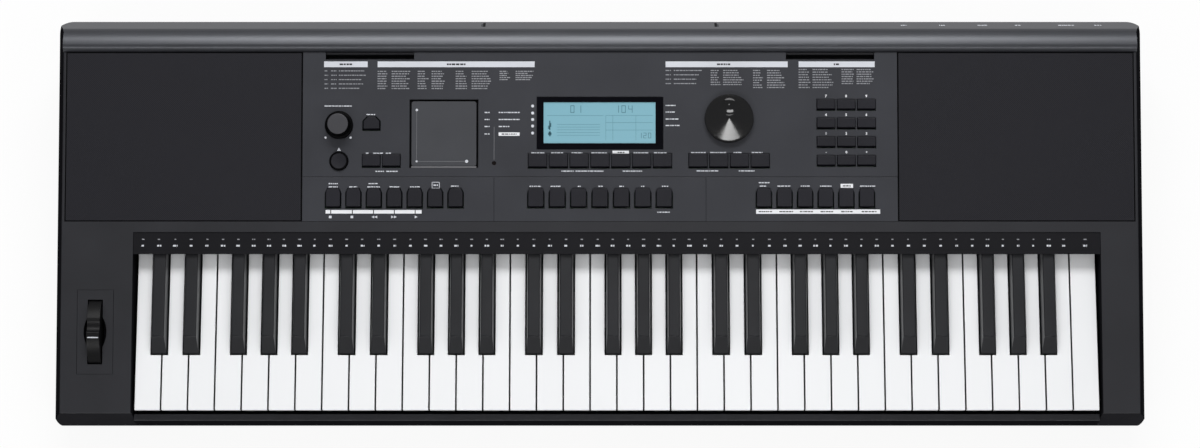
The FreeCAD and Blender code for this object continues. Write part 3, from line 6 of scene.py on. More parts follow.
import bmesh
import bpy
from bpy.props import FloatProperty, FloatVectorProperty, IntProperty, PointerProperty
from bpy.types import Operator, Panel, PropertyGroup
from mathutils import Matrix, Vector


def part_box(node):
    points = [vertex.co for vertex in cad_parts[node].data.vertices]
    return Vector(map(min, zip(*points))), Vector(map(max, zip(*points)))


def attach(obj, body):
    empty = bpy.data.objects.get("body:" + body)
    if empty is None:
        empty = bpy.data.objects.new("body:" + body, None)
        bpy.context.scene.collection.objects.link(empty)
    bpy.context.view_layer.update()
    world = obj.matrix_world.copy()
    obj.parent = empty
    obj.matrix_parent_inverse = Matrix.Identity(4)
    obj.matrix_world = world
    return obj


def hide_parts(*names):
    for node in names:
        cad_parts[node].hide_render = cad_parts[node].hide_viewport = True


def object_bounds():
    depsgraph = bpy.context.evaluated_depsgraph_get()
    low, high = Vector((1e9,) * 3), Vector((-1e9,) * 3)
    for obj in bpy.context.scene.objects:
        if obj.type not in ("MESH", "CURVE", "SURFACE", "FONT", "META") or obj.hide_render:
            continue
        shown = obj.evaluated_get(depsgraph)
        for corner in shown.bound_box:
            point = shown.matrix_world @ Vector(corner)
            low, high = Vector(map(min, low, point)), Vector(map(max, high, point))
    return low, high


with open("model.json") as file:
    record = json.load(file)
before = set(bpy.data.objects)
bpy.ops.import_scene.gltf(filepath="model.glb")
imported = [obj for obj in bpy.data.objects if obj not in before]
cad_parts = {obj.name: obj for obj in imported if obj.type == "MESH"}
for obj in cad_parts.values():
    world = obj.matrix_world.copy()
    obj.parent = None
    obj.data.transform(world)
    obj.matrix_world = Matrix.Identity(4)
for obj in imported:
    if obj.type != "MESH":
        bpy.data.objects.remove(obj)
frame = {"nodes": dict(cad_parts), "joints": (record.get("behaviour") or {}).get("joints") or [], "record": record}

bl_info = {
    "name": "Arranger Keyboard",
    "version": (1, 0, 0),
    "blender": (4, 5, 0),
    "location": "View3D > Sidebar > Keyboard",
    "description": "Builds the keys, controls, prints and finishes of an arranger keyboard",
    "category": "Object",
}

MM = 0.001
CAD_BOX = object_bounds()
NODES = frame["nodes"]
JOINTS = {joint["name"]: joint for joint in frame["joints"]}
NODE_SLOTS = {part["node"]: part["material_slot"] for part in frame["record"]["subparts"]}
CASE = "case"

# The sloping deck that carries the controls: U to the right, V up the slope, W out of it
KNOB_V = 85 * MM
DECK_NORMAL = Vector(JOINTS["volume_turn"]["axis"])
TILT = math.atan2(-DECK_NORMAL.y, DECK_NORMAL.z)
KNOB_PLACE = Vector(JOINTS["volume_turn"]["pos_m"])
DIAL_PLACE = Vector(JOINTS["dial_turn"]["pos_m"])
WHEEL_PLACE = Vector(JOINTS["wheel_bend"]["pos_m"])
DECK_ORIGIN = Vector((0, KNOB_PLACE.y - KNOB_V * math.cos(TILT), KNOB_PLACE.z - KNOB_V * math.sin(TILT)))
DECK = Matrix.Translation(DECK_ORIGIN) @ Matrix.Rotation(TILT, 4, "X")
TO_DECK = DECK.inverted()
# Points that differ by less than the first count as level, and points closer than the second are merged
NEAR = 0.05 * MM
MERGE = NEAR / 10
# Digits of a metre to which the buttons of a row line up
ROW_DIGITS = 4
# Angle up to which neighbouring faces are shaded as one
SMOOTH = math.radians(50)
# Steps round a full turn, the last for each rib of the knob
DOT_STEPS, PAD_DOT_STEPS, SCREW_STEPS, RING_STEPS, CAP_STEPS = 20, 24, 32, 48, 64
NOTCH_STEPS, BOWL_TURN, WHEEL_STEPS, DIAL_STEPS, STEPS_PER_RIB = 64, 96, 144, 192, 4
# Where the random draws of each print start
PANEL_SEED, STRIP_SEED, REAR_SEED = 7, 11, 3

WHITE_COMBS = [name for name in NODES if name.startswith(("keys_c_e_g_b_", "keys_d_f_a_"))]
BLACK_COMBS = [name for name in NODES if name.startswith("keys_black_")]
BUTTON_NODES = [name for name in NODES if name.endswith(("_button", "_buttons"))]
GRILLES = ("speaker_grille_left", "speaker_grille_right")
WHITE_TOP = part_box("keys_c_e_g_b_1")[1].z
MATERIALS = {}


def length(label, note, value):
    """A length that a user may change, its first value in millimetres."""
    return FloatProperty(name=label, description=note, default=value * MM, unit="LENGTH", precision=5)


def colour(label, note, value):
    """A colour that a user may change."""
    return FloatVectorProperty(name=label, description=note, default=value, subtype="COLOR", size=3, min=0,
                               max=1)


class KeyboardKeySizes(PropertyGroup):
    """Shapes of the keys."""

    white_edge: length("White edge", "Rounding of the white keys' edges", 0.7)
    white_inset: length("White inset", "Extra gap at each side of a white key", 0.15)
    lip_height: length("Lip", "Height of the white keys' front lip", 4.5)
    lip_undercut: length("Undercut", "How far the front wall leans back under the lip", 9)
    tail_height: length("Tail", "Thickness of the tails at the hinge", 7)
    knuckle_cut: length("Knuckle", "Corner taken off the tail where it turns in the rail", 2.05)
    notch_limit: length("Notch limit", "Narrowing from which a white key has a notch", 1)
    black_lip: length("Black lip", "Upright part of the black keys' sides above the white keys", 1)
    black_taper: length("Black taper", "Lean of the black keys' sides", 1.25)
    black_nose: length("Black nose", "Length of the black keys' sloping nose", 14)
    black_edge: length("Black edge", "Rounding of the black keys' edges", 1.1)


class KeyboardControlSizes(PropertyGroup):
    """Shapes of the buttons, the knob, the dial and the wheel."""

    button_low: length("Button foot", "How deep the caps reach into the panel", -3.3)
    button_edge: length("Button edge", "Rounding of the buttons' edges", 0.6)
    button_front: length("Button front", "Slope of the buttons' front walls", 0.8)
    button_gap: length("Button gap", "Gap in front of the buttons", 0.9)
    button_side: length("Button side", "Gap at each side of the lower buttons", 0.6)
    web_gap: length("Web gap", "Gap between a button and the bar of the panel beside it", 0.4)
    web_limit: length("Web limit", "Widest space between buttons that has a bar of its own", 3)
    web_root: length("Web root", "How far the bars reach into the panel", 0.7)
    knob_skirt: length("Knob skirt", "Radius of the knob's skirt", 12.4)
    # The black ring round the power button is painted shade for the recess round it
    shaded_ring_width: length("Ring width", "Width of the black ring round the power button", 1.5)
    knob_grip: length("Knob grip", "Radius of the knob's ribbed grip", 10.2)
    knob_cap: length("Knob cap", "Radius of the knob's grey cap", 9.0)
    knob_height: length("Knob height", "Height of the knob above the panel", 14)
    knob_ribs: IntProperty(name="Knob ribs", description="Ribs around the grip", default=40, min=8)
    rib_depth: length("Rib depth", "Depth of the grip's ribs", 0.35)
    dial_radius: length("Dial radius", "Radius of the data dial", 21.5)
    dial_height: length("Dial height", "Height of the data dial above the panel", 7)
    dial_drop: length("Dial drop", "Fall of the dial's face from its middle to its rim", 1.5)
    dimple_reach: length("Dimple reach", "From the dial's middle to its finger dimple", 10.4)
    dimple_radius: length("Dimple radius", "Radius of the finger dimple", 8.2)
    dimple_depth: length("Dimple depth", "Depth of the finger dimple", 2.2)
    dimple_lip: length("Dimple lip", "Rounding of the rim of the finger dimple", 1.8)
    running_gap: length("Running gap", "Gap under the knob and the dial", 0.4)
    wheel_radius: length("Wheel radius", "Radius of the pitch wheel", 36)
    wheel_width: length("Wheel width", "Width of the pitch wheel", 11.2)
    wheel_cut: length("Wheel cut", "How far below its axle the wheel is cut off", 8)
    wheel_edge: length("Wheel edge", "Rounding of the wheel's rims", 0.8)
    notch_radius: length("Notch radius", "Radius of the wheel's thumb notch", 8)
    notch_lead: length("Notch lead", "How far behind the axle the notch lies", 6)
    notch_standoff: length("Notch standoff", "Height of the notch's middle above the rim", 4.5)


class KeyboardPrintSizes(PropertyGroup):
    """Sizes of what is printed on the panel."""

    thickness: length("Ink", "Thickness of the print", 0.05)
    root: length("Root", "How far the print reaches into its surface", 0.03)
    letter: length("Letter", "Height of the small lettering", 0.95)
    number: length("Number", "Height of the numbers by the buttons", 3.0)


class KeyboardFinishes(PropertyGroup):
    """Colours of the pieces."""

    case: colour("Case", "Upper and lower case", (0.0155, 0.016, 0.020))
    # The walls' darker, matte colour is painted shade on the faces that turn away from the light
    wall: colour("Walls", "Dull front and side walls of the case", (0.008, 0.008, 0.0095))
    panel: colour("Panel", "Control panel", (0.034, 0.0355, 0.0425))
    grille: colour("Grille", "Speaker grilles", (0.0155, 0.0155, 0.0205))
    strip: colour("Strip", "Label strip behind the keys", (0.0045, 0.0045, 0.0065))
    white_key: colour("White keys", "White keys", (0.89, 0.90, 0.915))
    black_key: colour("Black keys", "Black keys", (0.0095, 0.010, 0.0125))
    button: colour("Buttons", "Button caps", (0.0105, 0.0105, 0.015))
    cap: colour("Knob cap", "Cap of the volume knob", (0.050, 0.050, 0.056))
    pad: colour("Touch pad", "Touch pad", (0.047, 0.049, 0.056))
    ink: colour("Ink", "Print on the panel", (0.62, 0.64, 0.69))
    display: colour("Display", "Lit field of the display", (0.19, 0.40, 0.48))
    segments: colour("Segments", "Dark marks in the display", (0.035, 0.13, 0.17))
    board: colour("Board", "Circuit boards", (0.012, 0.055, 0.025))
    floor: colour("Floor", "Studio floor", (0.93, 0.93, 0.93))


class KeyboardStage(PropertyGroup):
    """Camera and light."""

    elevation: FloatProperty(name="Elevation", description="Camera above the horizon", subtype="ANGLE",
                             default=math.radians(80))
    distance: length("Distance", "From the camera to the middle of the deck", 2426)
    aim_y: length("Aim Y", "Where the camera looks, along Y", -4.8)
    aim_z: length("Aim Z", "Where the camera looks, along Z", 80.95)
    lens: FloatProperty(name="Lens", description="Focal length in millimetres", default=82.86)
    sky: FloatProperty(name="Sky", description="Light from above and behind", default=0.36)
    horizon: FloatProperty(name="Horizon", description="Light from the front", default=0.30)
    sky_lean: FloatProperty(name="Sky lean", description="How far the light sky leans to the rear",
                            subtype="ANGLE", default=math.radians(30))


# Mesh helpers

def prism(points, along):
    """A closed prism: an outline of points drawn out along a vector."""
    shape = bmesh.new()
    face = shape.faces.new([shape.verts.new(point) for point in points])
    grown = bmesh.ops.extrude_face_region(shape, geom=[face])["geom"]
    moved = [item for item in grown if isinstance(item, bmesh.types.BMVert)]
    bmesh.ops.translate(shape, verts=moved, vec=along)
    bmesh.ops.recalc_face_normals(shape, faces=shape.faces)
    return shape


def box(low, high):
    """A closed box between two corners."""
    plan = [(low[0], low[1]), (high[0], low[1]), (high[0], high[1]), (low[0], high[1])]
    return prism([(x, y, low[2]) for x, y in plan], (0, 0, high[2] - low[2]))


def deck_box(u, v, w):
    """A closed box from its spans along the three ways of the deck."""
    return box((u[0], v[0], w[0]), (u[1], v[1], w[1]))


def turned(profile, steps):
    """A closed solid: a profile of (radius, height) points spun about the upright axis."""
    shape = bmesh.new()
    verts = [shape.verts.new((radius, 0, height)) for radius, height in profile]
    edges = [shape.edges.new(pair) for pair in zip(verts, verts[1:])]
    bmesh.ops.spin(shape, geom=verts + edges, cent=(0, 0, 0), axis=(0, 0, 1), angle=math.tau, steps=steps,
                   use_merge=True, dvec=(0, 0, 0))
    bmesh.ops.remove_doubles(shape, verts=shape.verts, dist=MERGE)
    bmesh.ops.recalc_face_normals(shape, faces=shape.faces)
    return shape


def traced(outline, sizes):
    """The points of an outline: named sizes, each with its offset in millimetres."""
    return [(sizes[across] + out * MM, sizes[up] + rise * MM) for across, out, up, rise in outline]


def in_mm(points):
    return [tuple(value * MM for value in point) for point in points]


def soften(shape, chosen, radius, segments=3):
    """Rounds the edges that a test chooses."""
    edges = [edge for edge in shape.edges if chosen(edge)]
    bmesh.ops.bevel(shape, geom=edges, offset=radius, offset_type="OFFSET", segments=segments, profile=0.5,
                    affect="EDGES", clamp_overlap=True, material=-1)


def both(edge, test):
    return all(test(vert.co) for vert in edge.verts)


def at_least(edge, height):
    return both(edge, lambda co: co.z > height - NEAR)


def run(edge, axis):
    """How far an edge runs along an axis."""
    return abs(edge.verts[0].co[axis] - edge.verts[1].co[axis])


def roof_of(shape):
    return max(shape.faces, key=lambda face: face.calc_center_median().z)


def mesh_from(name, shape):
    """A mesh with the faces of a shape, which is then freed."""
    mesh = bpy.data.meshes.new(name)
    shape.to_mesh(mesh)
    shape.free()
    return mesh


def add_object(name, data):
    item = bpy.data.objects.new(name, data)
    bpy.context.scene.collection.objects.link(item)
    return item


def shape_of(item):
    """The shape of an object after its modifiers."""
    mesh = bpy.data.meshes.new_from_object(item.evaluated_get(bpy.context.evaluated_depsgraph_get()))
    shape = bmesh.new()
    shape.from_mesh(mesh)
    bpy.data.meshes.remove(mesh)
    return shape


def gather(shapes):
    """Joins several shapes into one."""
    whole = bmesh.new()
    for shape in shapes:
        mesh = mesh_from("gathered", shape)
        whole.from_mesh(mesh)
        bpy.data.meshes.remove(mesh)
    return whole


def placed(shape, matrix):
    bmesh.ops.transform(shape, matrix=matrix, verts=shape.verts)
    return shape


def painted(shape, index):
    """Gives every face of a shape one of its piece's finishes."""
    for face in shape.faces:
        face.material_index = index
    return shape


def carved(shape, cutter):
    """One shape cut out of another."""
    items = [add_object("carving", mesh_from("carving", source)) for source in (shape, cutter)]
    cut = items[0].modifiers.new("cut", "BOOLEAN")
    cut.operation, cut.solver, cut.object = "DIFFERENCE", "EXACT", items[1]
    made = shape_of(items[0])
    for item in items:
        mesh = item.data
        bpy.data.objects.remove(item)
        bpy.data.meshes.remove(mesh)
    return made


def bar(left, right, low, high, w):
    """A thin bar on the deck, its sides in millimetres."""
    return deck_box((left * MM, right * MM), (low * MM, high * MM), w)


def dot(u, v, radius, w, steps):
    """A thin disc on the deck, its middle and radius in millimetres."""
    edge = radius * MM
    disc = turned([(0, w[0]), (edge, w[0]), (edge, w[1]), (0, w[1])], steps)
    return placed(disc, Matrix.Translation((u * MM, v * MM, 0)))


def plate(corners, w):
    """A thin plate on the deck, its corners in millimetres."""
    return prism([(u * MM, v * MM, w[0]) for u, v in corners], (0, 0, w[1] - w[0]))


def piece(name, shape, finishes, body=CASE, replaces=(), smooth=SMOOTH):
    """Turns a shape into a finished piece that rides on a body."""
    mesh = mesh_from(name, shape)
    mesh.shade_smooth()
    mesh.set_sharp_from_angle(angle=smooth)
    item = add_object(name, mesh)
    for finish in finishes:
        mesh.materials.append(MATERIALS[finish])
    even = item.modifiers.new("even_shading", "WEIGHTED_NORMAL")
    even.keep_sharp = True
    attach(item, body)
    if replaces:
        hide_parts(*replaces)


def deck_piece(name, shapes, finishes, body=CASE, replaces=()):
    """A piece made of shapes that are given in the deck's own frame."""
    piece(name, placed(gather(shapes), DECK), finishes, body, replaces)


def span(points, axis):
    values = [point[axis] for point in points]
    return min(values), max(values)


def to_deck(points):
    return [TO_DECK @ point for point in points]


def deck_spans(node):
    """The reach of a node along the three ways of the deck."""
    points = to_deck([vert.co for vert in NODES[node].data.vertices])
    return [span(points, axis) for axis in range(3)]


def islands(node):
    """The points of each separate solid of a node, from left to right."""
    shape = bmesh.new()
    shape.from_mesh(NODES[node].data)
    bmesh.ops.remove_doubles(shape, verts=shape.verts, dist=MERGE)
    seen, found = set(), []
    for start in shape.verts:
        if start in seen:
            continue
        seen.add(start)
        front, points = [start], []
        while front:
            vert = front.pop()
            points.append(vert.co.copy())
            for edge in vert.link_edges:
                other = edge.other_vert(vert)
                if other not in seen:
                    seen.add(other)
                    front.append(other)
        found.append(points)
    shape.free()
    return sorted(found, key=lambda points: sum(point.x for point in points) / len(points))


# Materials

# Span of a noise pattern that runs from one shade to the other
PATTERN_SPAN = (0.3, 0.7)
SHEEN_SPREAD, STEEL_SPREAD = 0.015, 0.06
# A perforated sheet: shade in a hole and where its edge starts, shifts of the sheen, and the relief
HOLE_SHADE, HOLE_EDGE, SHEET_PATCH, SHEET_SHEEN = 0.12, 0.8, 60 * MM, (0.455, 0.485)
SHEET_RELIEF, SHEET_STRENGTH = 0.2 * MM, 0.5
# A spun face: pitch, shades, sheen and relief of its rings
RING_PITCH, RING_SHADES, RING_SHEEN = 0.5 * MM, (0.7, 1.3), (0.07, 0.11)
RING_RELIEF, RING_STRENGTH = 0.001 * MM, 0.6
# Size of the display's cells and the shade between them
CELL_SIZE, CELL_SHADE = 0.6 * MM, 0.86
# Brushed metal: width and shades of its lines, and how far they are drawn out
LINE_WIDTH, LINE_SHADES, LINE_STRETCH = 2 * MM, (0.85, 1.1), 12.0


def feed(tree, node, **inputs):
    """Links each input to a socket, or sets it where the value is a constant."""
    for name, value in inputs.items():
        socket = node.inputs[name.replace("_", " ")]
        if isinstance(value, bpy.types.NodeSocket):
            tree.links.new(value, socket)
        else:
            socket.default_value = value
    return node


def add_node(tree, kind, **inputs):
    return feed(tree, tree.nodes.new("ShaderNode" + kind), **inputs)


def blank_material(name):
    material = bpy.data.materials.new(name)
    material.use_nodes = True
    tree = material.node_tree
    return material, tree, tree.nodes["Principled BSDF"]


def pattern(tree, kind, mapping=None, **inputs):
    """A pattern fixed to the object, and shifted, turned or stretched where a mapping is given."""
    place = add_node(tree, "TexCoord").outputs["Object"]
    if mapping:
        place = add_node(tree, "Mapping", Vector=place, **mapping).outputs["Vector"]
    return add_node(tree, kind, Vector=place, **inputs)


def noise(tree, size, detail=2.0):
    """A noise pattern with features of one size."""
    return pattern(tree, "TexNoise", Scale=1 / size, Detail=detail).outputs["Fac"]


def between(tree, factor, low, high):
    """A value that runs between two levels with a pattern."""
    start, end = PATTERN_SPAN
    levels = {"From_Min": start, "From_Max": end, "To_Min": low, "To_Max": high}
    return add_node(tree, "MapRange", Value=factor, **levels).outputs["Result"]


def shades(tree, factor, dark, light, reach=PATTERN_SPAN):
    """A colour that runs between two shades with a pattern."""
    ramp = add_node(tree, "ValToRGB", Fac=factor)
    for stop, position, shade in zip(ramp.color_ramp.elements, reach, (dark, light)):
        stop.position = position
        stop.color = (*shade, 1)
    return ramp.outputs["Color"]


def bumped(tree, shader, height, depth, strength=1.0):
    bump = add_node(tree, "Bump", Height=height, Strength=strength, Distance=depth)
    feed(tree, shader, Normal=bump.outputs["Normal"])


def scaled(rgb, factor):
    return tuple(min(1.0, channel * factor) for channel in rgb)


def moulded(name, rgb, roughness, grain, depth, spread, gloss, patch, tint):
    """A moulded plastic: a fine grain, and slow shifts of shade and sheen."""
    material, tree, shader = blank_material(name)
    broad = noise(tree, patch, detail=3.0)
    fine = noise(tree, grain * MM)
    tone = shades(tree, broad, scaled(rgb, 1 - spread), scaled(rgb, 1 + spread))
    sheen = between(tree, broad, roughness - SHEEN_SPREAD, roughness + SHEEN_SPREAD)
    feed(tree, shader, Base_Color=tone, Roughness=sheen, Specular_IOR_Level=gloss, Specular_Tint=(*tint, 1))
    bumped(tree, shader, fine, depth * MM)
    return material


def perforated(name, rgb, pitch, hole):
    """A painted sheet with a fine staggered pattern of holes."""
    material, tree, shader = blank_material(name)
    turn = {"Rotation": (0, 0, math.radians(45))}
    lattice = pattern(tree, "TexVoronoi", turn, Scale=1 / pitch, Randomness=0.0)
    lattice.voronoi_dimensions = "2D"
    edge, reach = hole / pitch, lattice.outputs["Distance"]
    tone = shades(tree, reach, scaled(rgb, HOLE_SHADE), rgb, (edge * HOLE_EDGE, edge))
    sheen = between(tree, noise(tree, SHEET_PATCH), *SHEET_SHEEN)
    feed(tree, shader, Base_Color=tone, Roughness=sheen, Specular_IOR_Level=0.2)
    bumped(tree, shader, reach, SHEET_RELIEF, SHEET_STRENGTH)
    return material


def spun(name, rgb, centre):
    """A glossy black face with the fine rings of a lathe."""
    material, tree, shader = blank_material(name)
    shift = {"Location": -centre}
    wave = pattern(tree, "TexWave", shift, Scale=1 / RING_PITCH, Distortion=0.4, Detail=1.0)
    wave.wave_type, wave.rings_direction = "RINGS", "Z"
    rings = wave.outputs["Fac"]
    tone = shades(tree, rings, *(scaled(rgb, share) for share in RING_SHADES))
    sheen = between(tree, rings, *RING_SHEEN)
    feed(tree, shader, Base_Color=tone, Roughness=sheen, Specular_IOR_Level=0.48)
    bumped(tree, shader, rings, RING_RELIEF, RING_STRENGTH)
    return material


def lit_field(name, rgb):
    """The lit field of the display, with its fine cell grid."""
    material, tree, shader = blank_material(name)
    cells = pattern(tree, "TexVoronoi", Scale=1 / CELL_SIZE, Randomness=0.0)
    cells.voronoi_dimensions, cells.distance = "2D", "CHEBYCHEV"
    tone = shades(tree, cells.outputs["Distance"], rgb, scaled(rgb, CELL_SHADE))
    feed(tree, shader, Base_Color=tone, Emission_Color=tone, Emission_Strength=0.10, Roughness=0.25)
    return material


def brushed(name, rgb, roughness):
    """Plain metal with fine drawn lines."""
    material, tree, shader = blank_material(name)
    stretch = {"Scale": (1.0, LINE_STRETCH, LINE_STRETCH)}
    lines = pattern(tree, "TexNoise", stretch, Scale=1 / LINE_WIDTH, Detail=3.0).outputs["Fac"]
    tone = shades(tree, lines, *(scaled(rgb, share) for share in LINE_SHADES))
    sheen = between(tree, lines, roughness - STEEL_SPREAD, roughness + STEEL_SPREAD)
    feed(tree, shader, Base_Color=tone, Roughness=sheen, Metallic=1.0)
    return material


# Moulded finishes: the material's name, its colour or the setting that holds it, roughness, size and depth of
# the grain in millimetres, spread of the shade, and sheen
MOULDED = {
    "case": ("case_plastic", "case", 0.44, 0.7, 0.010, 0.10, 0.38),
    "crest": ("case_ridge", "case", 0.38, 0.7, 0.004, 0.10, 0.84),
    # Painted shade and light: matte copies of the case plastic, darker on the walls that turn away from the light,
    # and toned on the fronts of the end blocks for the light they catch
    "wall": ("case_wall", "wall", 0.6, 0.7, 0.02, 0.10, 0.0),
    "block_front": ("block_front", (0.0185, 0.0185, 0.021), 0.6, 0.7, 0.02, 0.10, 0.0),
    "panel": ("panel_plastic", "panel", 0.46, 0.6, 0.012, 0.08, 0.25),
    "strip": ("strip_plastic", "strip", 0.45, 0.5, 0.01, 0.10, 0.2),
    "white_key": ("white_key_gloss", "white_key", 0.24, 9, 0.02, 0.012, 0.5),
    "black_key": ("black_key_satin", "black_key", 0.36, 0.6, 0.010, 0.15, 0.42),
    # Painted shade: dark grey on the sides of the white keys, for the shadow in the narrow gaps between them
    "key_side": ("key_side", (0.07, 0.07, 0.073), 0.6, 2, 0.01, 0.1, 0.2),
    "button": ("button_cap", "button", 0.44, 0.5, 0.010, 0.15, 0.25),
    "black": ("black_plastic", (0.004, 0.004, 0.0045), 0.38, 0.5, 0.008, 0.2, 0.2),
    # Near black for the knob's body, and painted shade in the gaps, wells and slots and on the ring round the
    # power button
    "deep": ("deep_black", (0.0016, 0.0016, 0.0020), 0.5, 0.5, 0.008, 0.2, 0.04),
    # Light grey for the sill in front of the touch pad: a painted highlight on the edge of its recess
    "trim": ("grey_trim", (0.16, 0.16, 0.17), 0.4, 0.5, 0.008, 0.06, 0.4),
    "cap": ("knob_cap", "cap", 0.40, 0.4, 0.008, 0.06, 0.3),
    "gloss": ("window_gloss", (0.0028, 0.0028, 0.0045), 0.12, 20, 0.01, 0.2, 0.05),
    "pad": ("pad_film", "pad", 0.48, 0.35, 0.008, 0.06, 0.3),
    "ink": ("white_print", "ink", 0.55, 0.3, 0.004, 0.05, 0.3),
    "list_ink": ("list_print", (0.27, 0.275, 0.30), 0.55, 0.3, 0.004, 0.05, 0.3),
    "faint_ink": ("grey_print", (0.21, 0.215, 0.23), 0.55, 0.3, 0.004, 0.05, 0.3),
    "bright_ink": ("bright_print", (0.80, 0.81, 0.84), 0.55, 0.3, 0.004, 0.03, 0.3),
    "dark_ink": ("dark_print", (0.02, 0.02, 0.022), 0.55, 0.3, 0.004, 0.1, 0.3),
    "segments": ("display_segments", "segments", 0.3, 1, 0.004, 0.1, 0.5),
    "lamp": ("lamp_lens", (0.005, 0.003, 0.003), 0.15, 2, 0.01, 0.2, 0.2),
    "board": ("board_mask", "board", 0.35, 3, 0.01, 0.2, 0.5),
    "chassis": ("chassis_plastic", (0.02, 0.02, 0.022), 0.5, 0.8, 0.02, 0.10, 0.5),
    "felt": ("stop_felt", (0.022, 0.022, 0.024), 0.95, 0.4, 0.15, 0.3, 0.1),
    "cone": ("paper_cone", (0.014, 0.014, 0.015), 0.85, 0.5, 0.08, 0.2, 0.2),
    "rubber": ("black_rubber", (0.012, 0.012, 0.012), 0.75, 0.6, 0.05, 0.15, 0.3),
    "silicone": ("grey_silicone", (0.25, 0.25, 0.26), 0.6, 1, 0.02, 0.10, 0.5),
}
# Size of the slow shifts of shade, and the tint of the sheen, where they differ
PATCH, PATCHES = 45 * MM, {"white_key": 120 * MM}
TINT, TINTS = (1, 1, 1), {"crest": (0.90, 0.93, 1.0)}
DIAL_BLACK = (0.003, 0.003, 0.0035)
STEEL_GREY, STEEL_ROUGHNESS = (0.52, 0.52, 0.53), 0.32
GRILLE_PITCH, GRILLE_HOLE = 1.25 * MM, 0.36 * MM


def make_materials(finishes):
    """Every finish of the instrument, by name."""
    made = {}
    for finish, (name, shade, *looks) in MOULDED.items():
        rgb = tuple(getattr(finishes, shade)) if isinstance(shade, str) else shade
        made[finish] = moulded(name, rgb, *looks, PATCHES.get(finish, PATCH), TINTS.get(finish, TINT))
    made["grille"] = perforated("grille_sheet", tuple(finishes.grille), GRILLE_PITCH, GRILLE_HOLE)
    made["dial"] = spun("dial_face", DIAL_BLACK, DIAL_PLACE)
    made["display"] = lit_field("display_field", tuple(finishes.display))
    made["metal"] = brushed("plated_steel", STEEL_GREY, STEEL_ROUGHNESS)
    return made


# The finish of each slot that has no finish of its own name
SLOT_FINISH = {
    "case_plastic": "case", "panel_plastic": "panel", "label_strip": "strip", "knob": "black",
    "wheel": "black", "touch_pad": "pad", "display_window": "gloss", "speaker_frame": "chassis",
    "speaker_cone": "cone", "circuit_board": "board", "connector": "black", "steel": "metal",
    "contact_rubber": "silicone", "foot_rubber": "rubber",
}


class KEYBOARD_OT_finish_solids(Operator):
    """Makes the finishes and gives every solid the one of its slot"""

    bl_idname = "keyboard.finish_solids"
    bl_label = "Finish Solids"

    def execute(self, context):
        MATERIALS.update(make_materials(context.scene.keyboard_finishes))
        for name, item in NODES.items():
            slot = NODE_SLOTS[name]
            item.data.materials.clear()
            item.data.materials.append(MATERIALS[SLOT_FINISH.get(slot, slot)])
        return {"FINISHED"}


# Case

# The rounding of each shell's edges
SHELLS = {
    "top_case": 0.9 * MM, "bottom_case": 0.0, "key_slip": 0.3 * MM, "control_panel": 0.2 * MM,
    "speaker_grille_left": 0.3 * MM, "speaker_grille_right": 0.3 * MM, "key_label_strip": 0.2 * MM,
    "wheel_bezel": 0.2 * MM, "rubber_feet": 0.6 * MM,
}
SHELL_SMOOTH = math.radians(14)
FLAT = math.radians(0.5)
SHARP = math.radians(40)
# A shell's face whose normal goes further than this along X or Y is a side wall or a front wall
SIDE_SHARE, FRONT_SHARE = 0.5, -0.55
# Places in a shell's list of finishes: the walls' painted shade, the ridge, and the painted light on the fronts of
# the end blocks
SHADED_WALL, CREST, BLOCK_FRONT_LIGHT = 1, 2, 3
# The band of painted shade round each grille: its width, how far it reaches in and how far it stands proud
SEAM_WIDTH = 0.8 * MM
SEAM_DEPTH, SEAM_PROUD = 0.5 * MM, 0.02 * MM


def rim(edges):
    """Those edges of the deck that start at its front corners."""
    deck = [edge for edge in edges if both(edge, lambda co: abs((TO_DECK @ co).z) < NEAR)]
    front_y = min(vert.co.y for edge in deck for vert in edge.verts)
    return [edge for edge in deck if any(vert.co.y < front_y + NEAR for vert in edge.verts)]


def shell(node, rounding):
    """A merged copy of a solid with its outer edges slightly rounded."""
    shape = bmesh.new()
    shape.from_mesh(NODES[node].data)
    bmesh.ops.remove_doubles(shape, verts=shape.verts, dist=MERGE)
    if rounding:
        bmesh.ops.dissolve_limit(shape, angle_limit=FLAT, verts=shape.verts, edges=shape.edges)
        sharp = [edge for edge in shape.edges if edge.is_manifold and edge.calc_face_angle_signed() > SHARP]
        rounded = set(rim(sharp) if node == "top_case" else sharp)
        soften(shape, lambda edge: edge in rounded, rounding, segments=2)
    shape.normal_update()
    return shape


def paint_shell(shape, upper):
    """Gives the walls of a shell their painted shade, and on the upper case marks its ridge and gives the fronts
    of its end blocks their painted light.
    """
    ridge_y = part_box("speaker_grille_left")[1].y
    block_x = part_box("key_slip")[1].x
    for face in shape.faces:
        place = face.calc_center_median()
        side = abs(face.normal.x) > SIDE_SHARE
        if side or (face.normal.y < FRONT_SHARE and place.y < 0):
            face.material_index = BLOCK_FRONT_LIGHT if upper and not side and abs(place.x) > block_x else SHADED_WALL
        elif upper and place.y > ridge_y:
            face.material_index = CREST
    return shape


def seam(node):
    """A thin deep-black band round a piece that lies in the deck, painted shade for the gap at its edge."""
    u, v, (_, high) = deck_spans(node)
    w = (high - SEAM_DEPTH, high + SEAM_PROUD)
    rows = ((v[0], v[0] + SEAM_WIDTH), (v[1] - SEAM_WIDTH, v[1]))
    columns = ((u[0], u[0] + SEAM_WIDTH), (u[1] - SEAM_WIDTH, u[1]))
    return [deck_box(u, row, w) for row in rows] + [deck_box(column, v, w) for column in columns]


